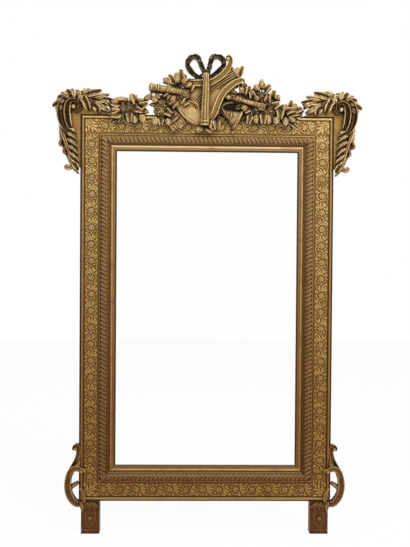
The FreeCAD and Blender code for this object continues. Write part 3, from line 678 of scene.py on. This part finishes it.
trail_folded = [
    [(-14, 62), (-44, 68), (-72, 79)],
    [(-44, 48), (-78, 46), (-114, 45)],
    [(-44, 30), (-58, 18), (-60, 2)],
    [(-8, 60), (-16, 44), (-30, 30)],
    [(-14, 46), (-24, 28), (-30, 10)],
]
trail_small = [
    [(-4, 70), (-16, 72), (-30, 72)],
    [(-30, 62), (-50, 62), (-66, 66)],
    [(-52, 52), (-72, 52), (-90, 56)],
    [(-48, 42), (-60, 34), (-70, 24)],
    [(-62, 46), (-82, 40), (-96, 36)],
]
drop_stem = [(64, -34, 6, 8), (58, -64, 8, 10), (47, -96, 8, 10), (38, -124, 7, 9), (30, -150, 7, 8),
             (18, -190, 5, 5)]
drop_folded = [
    [(52, -58), (32, -62), (12, -72)],
    [(48, -78), (30, -84), (9, -96)],
    [(42, -100), (26, -108), (8, -121)],
    [(36, -122), (22, -132), (8, -146)],
    [(28, -146), (16, -156), (6, -170)],
    [(22, -166), (13, -178), (5, -190)],
]
drop_small = [
    [(48, -66), (34, -72), (20, -82)],
    [(44, -88), (30, -95), (17, -106)],
    [(38, -110), (26, -118), (16, -130)],
    [(30, -134), (20, -144), (13, -156)],
]
drop_curls = [
    [(54, -76, 6, 6), (62, -90, 6, 8), (67, -104, 6, 9), (60, -111, 4, 9)],
    [(44, -104, 5, 6), (51, -119, 6, 8), (53, -131, 6, 9), (46, -138, 4, 9)],
    [(22, -148, 7, 6), (25, -169, 8, 8), (33, -182, 9, 9), (43, -183, 9, 9), (48, -175, 7, 9)],
    [(16, -184, 6, 5), (11, -195, 6, 6), (4, -204, 3, 5)],
]
corner = [
    carve(ear_ground, round_band, 0.45, 6),
    carve([[(x, z, w, 9) for x, z, w in c_scroll]], ribbed_band, 0.8, 8),
    carve(lobes(crown[0::2], 13.5, 6), leaf_band, 0.8, 6),
    carve(lobes(crown[1::2], 14, 5), fold_band, 0.8, 6),
    carve([trail_stem], leaf_band, 0.9, 6),
    carve(lobes(trail_veined, 13, 6), leaf_band, 0.8, 6),
    carve(lobes(trail_folded, 14, 6), fold_band, 0.8, 6),
    carve(lobes(trail_small, 8, 12), leaf_band, 0.9, 5),
    carve([drop_stem], leaf_band, 1.1, 6),
    carve(lobes(drop_folded, 12, 6), fold_band, 0.8, 6),
    carve(lobes(drop_small, 7.5, 12), leaf_band, 0.9, 5),
    carve(drop_curls, leaf_band, 1.0, 6),
    beads([(22, 21, 9, 14), (24, -56, 7, 12)]),
]
for side, s in hands:
    corner_place = facing(s * HALF_W, TOP_Z, EAR_FACE, s)
    piece("Corner_carving_" + side, corner, [corner_place], carving_gilt,
          ["corner_scroll_" + side, "corner_leaf_" + side])

# Ribbon bow
# Carved ribbon in two loops tied over the head of the pipe, the highest part of the crest.
# It is glued to the lyre's arm, the pipe and the crest board.
CREST_X = -7
CREST_FACE = 11
crest_place = facing(CREST_X, TOP_Z, CREST_FACE)
# Leaf tarnished almost to black: small pale flecks and a dull metal shine are all that is left of it.
bow_stops = ((0.0, "#080501"), (0.45, "#140d05"), (0.8, "#241909"), (1.0, "#7a5c30"))
bow_gilt = gilding("Tarnished_gilding", 20, bow_stops, "#cdb78a", shine=0.75, patch_mm=14)
bow_loops = [
    [(-6, 140, 6, 6), (-15, 160, 9, 8), (-22, 178, 8, 4), (-31, 190, 10, 8), (-44, 193, 8, 3),
     (-56, 185, 10, 7), (-63, 168, 8, 2), (-56, 150, 10, 7), (-40, 134, 8, 3), (-14, 117, 8, 9)],
    [(5, 138, 6, 6), (11, 158, 9, 8), (15, 176, 8, 4), (22, 191, 10, 8), (36, 195, 8, 3),
     (52, 188, 10, 7), (60, 170, 8, 2), (48, 150, 10, 7), (28, 135, 8, 3), (10, 122, 6, 9)],
]
bow_tails = [
    [(-14, 136, 4, 6), (-30, 116, 7, 8), (-46, 112, 8, 4), (-60, 118, 5, 6)],
    [(14, 134, 4, 6), (26, 124, 6, 8), (40, 130, 4, 4)],
]
bow_knot = [(-13, 140, 8, 9), (0, 142, 11, 12), (13, 140, 8, 9)]
bow = [
    carve(bow_loops, cupped_band, 0.8, 6),
    carve(bow_tails, cupped_band, 0.8, 5),
    carve([bow_knot], leaf_band, 1.0, 5),
]
piece("Ribbon_bow", bow, [crest_place], bow_gilt, ["ribbon_bow"])


# Lyre
# Lyre leaning to the right: domed sound box, two arms that scroll outwards, cross bar and strings.
# It is glued to the crest board and hangs over the edge of the top rail.
def slab(outline, thick, bevel):
    """Mesh of a flat piece through the (x, z) points of its outline, with a rounded edge."""
    data = bpy.data.curves.new("slab", "CURVE")
    data.dimensions = "2D"
    data.fill_mode = "BOTH"
    data.extrude = thick / 2 - bevel
    data.bevel_depth = bevel
    data.bevel_resolution = 2
    data.resolution_u = 6
    spline = data.splines.new("BEZIER")
    spline.bezier_points.add(len(outline) - 1)
    spline.use_cyclic_u = True
    for knot, (x, z) in zip(spline.bezier_points, outline):
        knot.co = (x, z, 0)
        knot.handle_left_type = "AUTO"
        knot.handle_right_type = "AUTO"
    mesh = mesh_of(data)
    mesh.transform(Matrix.Translation((0, 0, thick / 2)))
    return mesh


# The best kept leaf of the crest: warm gold on the faces, brown in the hollows as painted shade, pale on the
# rims where rubbed and painted brighter.
lyre_stops = ((0.0, "#2c1604"), (0.4, "#70501f"), (0.75, "#ae8b52"), (1.0, "#f2d8a0"))
lyre_gilt = gilding("Lyre_gilding", 20, lyre_stops, "#825c28")
TILT = math.radians(34.8)
strings = []
for aside in (-11, -3.7, 3.7, 11):
    dx, dz = -aside * math.sin(TILT), aside * math.cos(TILT)
    strings.append([(-40 + dx, 30 + dz, 1.8, 16), (20 + dx, 90 + dz, 2.0, 13), (100 + dx, 144 + dz, 2.0, 12)])
sound_box = [(-98, 34), (-88, 8), (-66, -16), (-40, -30), (-12, -34), (12, -26), (28, -6), (40, 28), (60, 66),
             (40, 84), (6, 80), (-20, 52), (-56, 42)]
string_ground = [(-4, 70), (58, 66), (104, 104), (90, 154), (58, 134), (14, 104)]
shoulder = [(-54, 92), (-6, 92), (-6, 48), (-36, 38), (-58, 56)]
shoulder_roll = [(-6, 104, 10, 3), (-28, 104, 11, 4), (-52, 105, 9, 2)]
box_dome = [(-84, 26, 10, 8), (-52, 6, 26, 8), (-10, -6, 28, 8), (22, 12, 18, 8), (40, 44, 10, 8)]
arms = [
    [(-14, 96, 8, 3), (14, 106, 10, 4), (42, 122, 10, 4), (64, 142, 10, 4), (79, 167, 9, 4), (82, 183, 8, 4),
     (75, 194, 7, 5), (68, 187, 4, 6)],
    [(12, -20, 8, 3), (28, 2, 10, 5), (40, 34, 10, 5), (57, 69, 10, 4), (81, 94, 10, 4), (109, 112, 9, 4),
     (124, 114, 8, 5), (125, 104, 4, 6)],
]
box_rim = [(-96, 32, 3.4, 8), (-86, 8, 4, 9), (-64, -14, 4, 9), (-38, -28, 4, 9), (-12, -31, 4, 9),
           (10, -24, 3.4, 9)]
cross_bar = [(84, 162, 5, 6), (100, 142, 6, 10), (115, 120, 5, 6)]
string_rest = [(-58, 44, 4, 8), (-30, 34, 5, 12), (-22, 14, 4, 10)]
lyre = [
    slab(sound_box, 11, 3),
    slab(string_ground, 8, 1),
    slab(shoulder, 7, 1),
    carve([shoulder_roll], cupped_band, 1.5, 5),
    carve([box_dome], round_band, 0.32, 8),
    carve(arms, cupped_band, 1.5, 8),
    carve([box_rim, cross_bar, string_rest], round_band, 1.3, 6),
    carve(strings, round_band, 1.2, 3),
    beads([(122, 108, 8, 9), (74, 188, 8, 9)]),
]
piece("Lyre", lyre, [crest_place], lyre_gilt, ["lyre", "lyre_strings"])

# Reed pipe
# Upright tapered pipe in front of the lyre, with long flutes and a turned foot, gilded like the lyre.
# It is the front layer of the crest and is let into the lyre.
fluted_band = section("Fluted_band", lambda a: (0.15 + 0.85 * dome(a)) * (0.9 + 0.1 * math.cos(9.4 * a)), 24)
pipe_stem = [(-4, -38, 18, 4), (-3, 20, 15.5, 7), (-1, 80, 13, 14), (0, 136, 10.5, 12)]
foot_rings = [[(x - w, z + 2, 2.4, up), (x, z, 3.2, up + 1.5 * w), (x + w, z + 2, 2.4, up)]
              for x, z, w, up in ((-4, -37, 18, 4), (-4, -26, 17, 5))]
pipe = [
    carve([pipe_stem], fluted_band, 1.6, 8),
    carve(foot_rings, round_band, 1.2, 5),
]
piece("Reed_pipe", pipe, [crest_place], lyre_gilt, ["reed_pipe"])

# Wind instruments
# Quiver-like tube on the left, hunting horn and flute on the right, pan-pipes low on the left. All are
# carved in half relief and glued to the crest board.
quiver_tube = [(-186, 88, 19), (-176, 87, 16), (-130, 81, 15), (-78, 72, 14)]
quiver_strap = [(-168, 62, 5), (-120, 58, 6), (-84, 54, 5)]
quiver_rings = [[(x + 3, z + w + 2, 2, 2), (x, z, 3, 1.5 * w), (x - 3, z - w - 2, 2, 2)]
                for x, z, w in ((-168, 86, 16), (-160, 85, 16), (-128, 80, 15), (-96, 75, 14))]
quiver_mouth = [(-184, 104, 4, 8), (-188, 88, 6, 16), (-185, 73, 4, 8)]
quiver = [
    carve([quiver_tube], round_band, 1.5, 8),
    carve([quiver_strap], round_band, 1.5, 6),
    carve(quiver_rings, round_band, 1.2, 5),
    carve([quiver_mouth], leaf_band, 1.0, 5),
]
piece("Quiver", quiver, [crest_place], carving_gilt, ["quiver"])
horn_tube = [(104, 44, 6), (82, 43, 7), (62, 37, 8), (51, 22, 9), (60, 8, 12), (78, -2, 18), (96, -12, 28),
             (110, -20, 36)]
horn_rim = [(123, 13, 4, 2), (119, 1, 5, 24), (109, -19, 5, 31), (98, -37, 5, 24), (88, -51, 4, 2)]
horn_rings = [
    [(56, 18, 3, 12), (64, 4, 3, 16), (72, -12, 2, 6)],
    [(86, 14, 2, 6), (86, -6, 3, 24), (78, -26, 2, 6)],
]
horn = [
    carve([horn_tube], round_band, 0.95, 8),
    carve([horn_rim], round_band, 1.1, 6),
    carve(horn_rings, round_band, 1.0, 5),
]
piece("Hunting_horn", horn, [crest_place], carving_gilt, ["hunting_horn"])
flute_tube = [(64, 60, 9), (76, 58, 12), (90, 55, 7), (106, 52, 13), (114, 50, 13), (124, 47, 11),
              (200, 26, 14)]
flute_rings = [[(x + 4, z + w + 2, 2, 4), (x, z, 2.6, 2 * w), (x - 4, z - w - 2, 2, 4)]
               for x, z, w in ((106, 52, 12), (115, 49.5, 12), (168, 35, 12), (190, 29, 13))]
flute = [
    carve([flute_tube], round_band, 1.8, 8),
    carve(flute_rings, round_band, 1.1, 5),
]
piece("Flute", flute, [crest_place], carving_gilt, ["flute"])
# Each of the pan-pipes lies a step below the last and reaches a little further.
TUBES = 6
STEP_X, STEP_Z, LONGER = -7.2, -5.6, -0.6
tubes = []
for i in range(TUBES):
    dx, dz = STEP_X * i, STEP_Z * i
    tubes.append([(-92 + dx, 0 + dz, 5.6, 4 + i), (-80 + dx, -15 + dz, 5.6, 5 + i),
                  (-70 + dx, -27 + dz + LONGER * i, 5.4, 4 + i)])
pan_strap = [(-86, -3, 3, 6), (-104, -20, 3.4, 15), (-126, -38, 3, 8)]
pan_leaves = [
    [(-122, -4), (-132, -20), (-126, -34)],
    [(-72, -30), (-88, -42), (-104, -44)],
]
pan_pipes = [
    carve(tubes, round_band, 0.8, 5),
    carve([pan_strap], round_band, 1.2, 5),
    carve(lobes(pan_leaves, 8, 2), leaf_band, 0.9, 5),
]
piece("Pan_pipes", pan_pipes, [crest_place], carving_gilt, ["pan_pipes"])


# Roses and leaves
# Sprays of roses, buds and leaves round the instruments and garlands along the top rail, cast in
# composition and glued to the crest board and the lip of the frame.
def roses(rows, lift):
    """Strokes of roses at (x, z, radius): petals that curl round a heart, in three rings."""
    strokes = []
    for x, z, r in rows:
        for ring, (reach, w, count) in enumerate(((0.74, 0.3, 5), (0.46, 0.24, 4), (0.2, 0.18, 3))):
            for i in range(count):
                a = x + ring + 2 * math.pi * i / count
                spots = [(a + k * 2.1 / count, reach * r * (1 + 0.12 * abs(k))) for k in (-1.3, 0, 1.3)]
                height = lift + ring * 0.22 * r
                strokes.append([(x + d * math.cos(b), z + d * math.sin(b), w * r * s, height)
                                for (b, d), s in zip(spots, (0.6, 1.0, 0.6))])
    return strokes


def straight(rows):
    """Lines of single leaves from (x0, z0) to (x1, z1) with a sideways bend."""
    lines = []
    for x0, z0, x1, z1, bend in rows:
        length = math.hypot(x1 - x0, z1 - z0)
        lines += fan(x0, z0, [(math.degrees(math.atan2(z1 - z0, x1 - x0)), length, bend)])
    return lines


keel_band = section("Keel_band", lambda a: 0.12 + 0.88 * (1 - abs(a)) ** 0.75, 8)


def leaves(lines, w, lift):
    """Strokes of pointed leaves, curled up from the root, no two of quite the same width."""
    strokes = []
    for i, line in enumerate(lines):
        size = w * (1 + 0.14 * math.sin(2.3 * i))
        shape = ((0.45, 0.0), (1.0, 0.5), (0.66, 0.65), (0.02, 0.3))
        strokes.append([(x, z, size * wide, lift + size * up) for (x, z), (wide, up) in zip(line, shape)])
    return strokes


def clump(seed, x, z, wide, high, count, length):
    """Lines of leaves that fill an oval, each pointing away from its middle."""
    chance = random.Random(seed)
    lines = []
    for i in range(count):
        r, a = math.sqrt((i + 0.5) / count), 2.4 * i + chance.uniform(-0.3, 0.3)
        angle = math.degrees(a) + chance.uniform(-40, 40)
        row = (angle, length * chance.uniform(0.8, 1.2), chance.uniform(-3, 3))
        lines += fan(x + wide * r * math.cos(a), z + high * r * math.sin(a), [row])
    return lines


LEAF_HALF = 8


def spray(name, ground, lines, fill, rose_rows, stems, replaced):
    """Carving of leaf lines over a ground and a lower fill of leaves, keeled and folded by turns, with
    roses and stems."""
    meshes = [carve(ground, round_band, 0.25, 5)]
    for i, band in enumerate((keel_band, fold_band)):
        meshes.append(carve(leaves(fill[i::2], 1.15 * LEAF_HALF, 0), band, 0.6, 5))
        meshes.append(carve(leaves(lines[i::2], 1.5 * LEAF_HALF, 8), band, 0.55, 6))
    meshes.append(carve(roses(rose_rows, 7), cupped_band, 0.9, 4))
    meshes.append(beads([(x, z, 0.62 * r, 5) for x, z, r in rose_rows]))
    if stems:
        meshes.append(carve(stems, round_band, 1.4, 5))
    piece(name, meshes, [crest_place], carving_gilt, replaced)


spray(
    "Leaf_spray",
    ground=[[(-122, 92, 8), (-92, 100, 18), (-62, 92, 10)]],
    lines=straight([
        (-118, 92, -146, 120, -3), (-106, 96, -128, 130, -3), (-92, 98, -102, 140, 0),
        (-80, 104, -83, 150, 3), (-70, 84, -52, 108, 0), (-104, 92, -128, 104, 3), (-86, 106, -66, 122, -3)]),
    fill=clump(3, -90, 94, 30, 18, 16, 32),
    rose_rows=[(-74, 100, 15), (-98, 112, 13)],
    stems=[[(-90, 70, 3, 4), (-84, 100, 3, 4), (-82, 130, 2, 4)]],
    replaced=["leaf_spray"])
spray(
    "Rose_spray_left",
    ground=[[(-160, 50, 8), (-130, 36, 26), (-86, 56, 16)], [(-150, 4, 16), (-124, -6, 20)]],
    lines=straight([
        (-160, 40, -178, 60, 4), (-120, 22, -100, 40, 0), (-168, -8, -178, -36, 4), (-138, 10, -116, -4, 0),
        (-152, 50, -172, 64, 0), (-138, 52, -124, 66, 0), (-104, 58, -118, 44, 0), (-56, 84, -44, 98, 0),
        (-130, -14, -126, -38, 0), (-64, 44, -78, 30, 0), (-92, 44, -102, 24, 0), (-150, -14, -152, -40, 0)]),
    fill=clump(5, -118, 30, 42, 36, 44, 32),
    rose_rows=[(-154, 38, 15), (-120, 43, 16), (-151, 7, 23), (-71, 67, 23)],
    stems=[[(-170, 46, 4, 3), (-172, 16, 5, 4), (-168, -10, 5, 3)]],
    replaced=["rose_spray_left"])
spray(
    "Rose_spray_right",
    ground=[[(120, 62, 14), (160, 56, 16), (194, 62, 18)], [(134, 12, 14), (186, 16, 28), (240, 20, 18)]],
    lines=straight([
        (188, 84, 188, 122, 0), (196, 82, 218, 100, 0), (180, 82, 164, 100, 0), (224, 54, 230, 82, 0),
        (234, 50, 250, 66, 0), (152, 4, 143, -34, 0), (170, 4, 171, -30, 0), (194, 6, 194, -32, 0),
        (210, 6, 212, -32, 0), (146, 62, 144, 96, 0), (102, 126, 108, 160, 0), (110, 126, 124, 164, 0),
        (20, -18, 14, -48, 0), (36, -18, 38, -52, 0), (-2, -38, -36, -53, 3), (4, -38, 24, -58, -3),
        (178, 44, 166, 64, 0), (206, 40, 212, 68, 0), (198, 30, 180, 18, 0), (228, 28, 248, 38, 0),
        (136, 30, 122, 18, 0), (148, 22, 128, 6, 0), (128, 70, 116, 90, 0), (160, 56, 152, 78, 0)]),
    fill=(clump(7, 184, 24, 56, 28, 50, 32) + clump(8, 128, 70, 26, 12, 12, 30)
          + clump(12, 108, 86, 14, 14, 9, 28) + clump(9, 26, -12, 16, 12, 6, 26)
          + clump(10, 194, 68, 16, 14, 6, 26)),
    rose_rows=[(190, 64, 15), (221, 42, 16), (172, 18, 16), (234, 10, 14)],
    stems=[
        [(160, 46, 3, 3), (176, 58, 3, 3), (190, 72, 3, 3)],
        [(190, 66, 3, 5), (189, 84, 3, 8), (188, 104, 2, 10)],
        [(192, 66, 3, 5), (200, 82, 3, 8), (208, 92, 2, 10)],
        [(188, 66, 3, 5), (180, 82, 3, 8), (172, 92, 2, 10)]],
    replaced=["rose_spray_right"])
spray(
    "Garland_left",
    ground=[[(-320, 22, 12), (-282, 16, 24), (-244, 12, 22), (-222, 10, 12)]],
    lines=straight([
        (-284, 12, -318, 18, 4), (-258, 4, -256, -30, 0), (-240, 34, -254, 66, 0), (-230, 34, -250, 62, 0),
        (-226, 30, -208, 46, 4), (-240, 16, -212, 6, 0), (-226, 0, -210, -32, 3), (-290, 0, -318, -6, 4),
        (-244, -4, -238, -34, 0), (-222, 22, -196, 34, 0), (-214, 40, -180, 66, 0), (-290, 32, -320, 34, 3)]),
    fill=clump(11, -262, 12, 48, 22, 42, 32),
    rose_rows=[(-278, 14, 14), (-256, 20, 12), (-232, 6, 14)],
    stems=[
        [(-262, 46, 7, 4), (-286, 48, 10, 6), (-306, 44, 10, 6), (-322, 38, 6, 4)],
        [(-318, 6, 5, 4), (-306, -10, 8, 6), (-286, -6, 6, 6)]],
    replaced=["garland_left"])
spray(
    "Garland_right",
    ground=[[(238, 8, 20), (274, 0, 18), (308, 2, 12)]],
    lines=straight([
        (262, 12, 270, 36, 0), (282, 14, 289, 50, 0), (290, 14, 306, 38, 0), (252, 20, 250, -14, 0),
        (274, 0, 304, -22, 0), (286, 8, 318, 8, -3), (240, -2, 238, -32, 0), (268, 12, 298, 18, 0),
        (268, -4, 272, -36, 0), (296, 14, 326, 22, 0)]),
    fill=clump(13, 270, -2, 42, 14, 34, 30),
    rose_rows=[(250, 18, 14), (278, 0, 13), (304, 6, 10)],
    stems=[],
    replaced=["garland_right"])

# Ironwork
# Screws, nails, hanger straps and hinged rings of wrought iron. The rings turn in the rolled ends of
# the straps, which are screwed to the backs of the stiles.
RUST_SPOT = 6
# Forged iron, long indoors: dark grey with brown rust spots, duller where it has rusted.
iron, tree, shader, where = surface("Wrought_iron")
rust = add(tree, "ShaderNodeTexNoise", {"Scale": 1 / (RUST_SPOT * MM), "Detail": 5, "Roughness": 0.6},
           {"Vector": where}, "Fac")
rust_stops = ((0.35, "#2b2825"), (0.55, "#3d3834"), (0.72, "#5a4030"))
rusty = add(tree, "ShaderNodeValToRGB", {"stops": rust_stops}, {"Fac": rust})
tree.links.new(rusty, shader.inputs["Base Color"])
dull = add(tree, "ShaderNodeMapRange", {"From Min": -0.4, "From Max": 1.3}, {"Value": rust})
tree.links.new(dull, shader.inputs["Roughness"])
shader.inputs["Metallic"].default_value = 0.85
rough = add(tree, "ShaderNodeBump", {"Distance": 0.3 * MM, "Strength": 0.4}, {"Height": rust})
tree.links.new(rough, shader.inputs["Normal"])
dress(["foot_screws", "crest_screws", "back_board_nails", "hanger_screws"], iron)
dress(["hanger_strap_left", "hanger_strap_right", "hanger_ring_left", "hanger_ring_right"], iron)

# Studio
# Pale floor and white surround, soft light from above and in front, and cooler window light from the
# right. The camera stands a little left of the middle.
FLOOR_HALF = 6.0
floor_mesh = bpy.data.meshes.new("Floor")
plane = bmesh.new()
bmesh.ops.create_grid(plane, x_segments=1, y_segments=1, size=FLOOR_HALF)
plane.to_mesh(floor_mesh)
plane.free()
floor = bpy.data.objects.new("Floor", floor_mesh)
bpy.context.scene.collection.objects.link(floor)


def seen(tree, low, high):
    """High for rays from the camera, reflections and glass, low for the others."""
    ray = add(tree, "ShaderNodeLightPath", {}, {}, "Is Camera Ray")
    plate = add(tree, "ShaderNodeMath", {"operation": "MAXIMUM"},
                {0: ray.node.outputs["Is Glossy Ray"], 1: ray.node.outputs["Is Transmission Ray"]})
    any_ray = add(tree, "ShaderNodeMath", {"operation": "MAXIMUM"}, {0: ray, 1: plate})
    return add(tree, "ShaderNodeMapRange", {"To Min": low, "To Max": high}, {"Value": any_ray})


# Matt white paint: what the camera and the plate see of it is mostly its own white, with a faint shadow.
paint, tree, shader, where = surface("Pale_floor")
shader.inputs["Base Color"].default_value = linear("#f4f4f2")
shader.inputs["Roughness"].default_value = 0.9
shader.inputs["Specular IOR Level"].default_value = 0.0
white = add(tree, "ShaderNodeEmission", {"Color": (1, 1, 1, 1), "Strength": 1.0}, {})
mixed = add(tree, "ShaderNodeMixShader", {}, {0: seen(tree, 0.0, 0.96), 1: shader.outputs[0], 2: white})
tree.links.new(mixed, tree.nodes["Material Output"].inputs["Surface"])
floor_mesh.materials.append(paint)

world = bpy.data.worlds.new("Studio")
bpy.context.scene.world = world
world.use_nodes = True
tree = world.node_tree
tree.links.new(seen(tree, 0.36, 1.0), tree.nodes["Background"].inputs["Strength"])
tree.nodes["Background"].inputs["Color"].default_value = (1, 1, 1, 1)

# A row is a lamp's name, size in metres, watts, colour, place and what it points at.
lamps = (
    ("Key", 1.6, 79, (1, 1, 1), (0.95, -1.5, 3.0), (0, 0, 1.0)),
    ("Window", 1.4, 26, (0.82, 0.91, 1.0), (2.3, -1.3, 1.3), (0.3, 0, 1.0)),
)
for name, size, watts, colour, place, target in lamps:
    light = bpy.data.lights.new(name, "AREA")
    light.size = size
    light.energy = watts
    light.color = colour
    lamp = bpy.data.objects.new(name, light)
    bpy.context.scene.collection.objects.link(lamp)
    lamp.location = place
    lamp.rotation_euler = (Vector(target) - lamp.location).to_track_quat("-Z", "Y").to_euler()
    lamp.visible_glossy = False

camera_data = bpy.data.cameras.new("Camera")
camera_data.sensor_fit = "VERTICAL"
camera_data.sensor_height = 24.0
camera_data.lens = 30.76
camera = bpy.data.objects.new("Camera", camera_data)
bpy.context.scene.collection.objects.link(camera)
camera.location = (-0.052, -2.4, 0.932)
yaw, pitch, roll = [math.radians(a) for a in (-1.115, -0.892, 0.434)]
level_aim = Matrix.Rotation(yaw, 3, "Z") @ Matrix.Rotation(math.radians(90) + pitch, 3, "X")
camera.rotation_euler = (level_aim @ Matrix.Rotation(roll, 3, "Z")).to_euler()
bpy.context.scene.camera = camera
bpy.context.scene.view_settings.view_transform = "Standard"

# The outlines of the carved bands aren't part of the mirror.
for band in (round_band, leaf_band, small_leaf_band, cupped_band, ribbed_band, fold_band, fluted_band,
             keel_band):
    bpy.data.objects.remove(band)
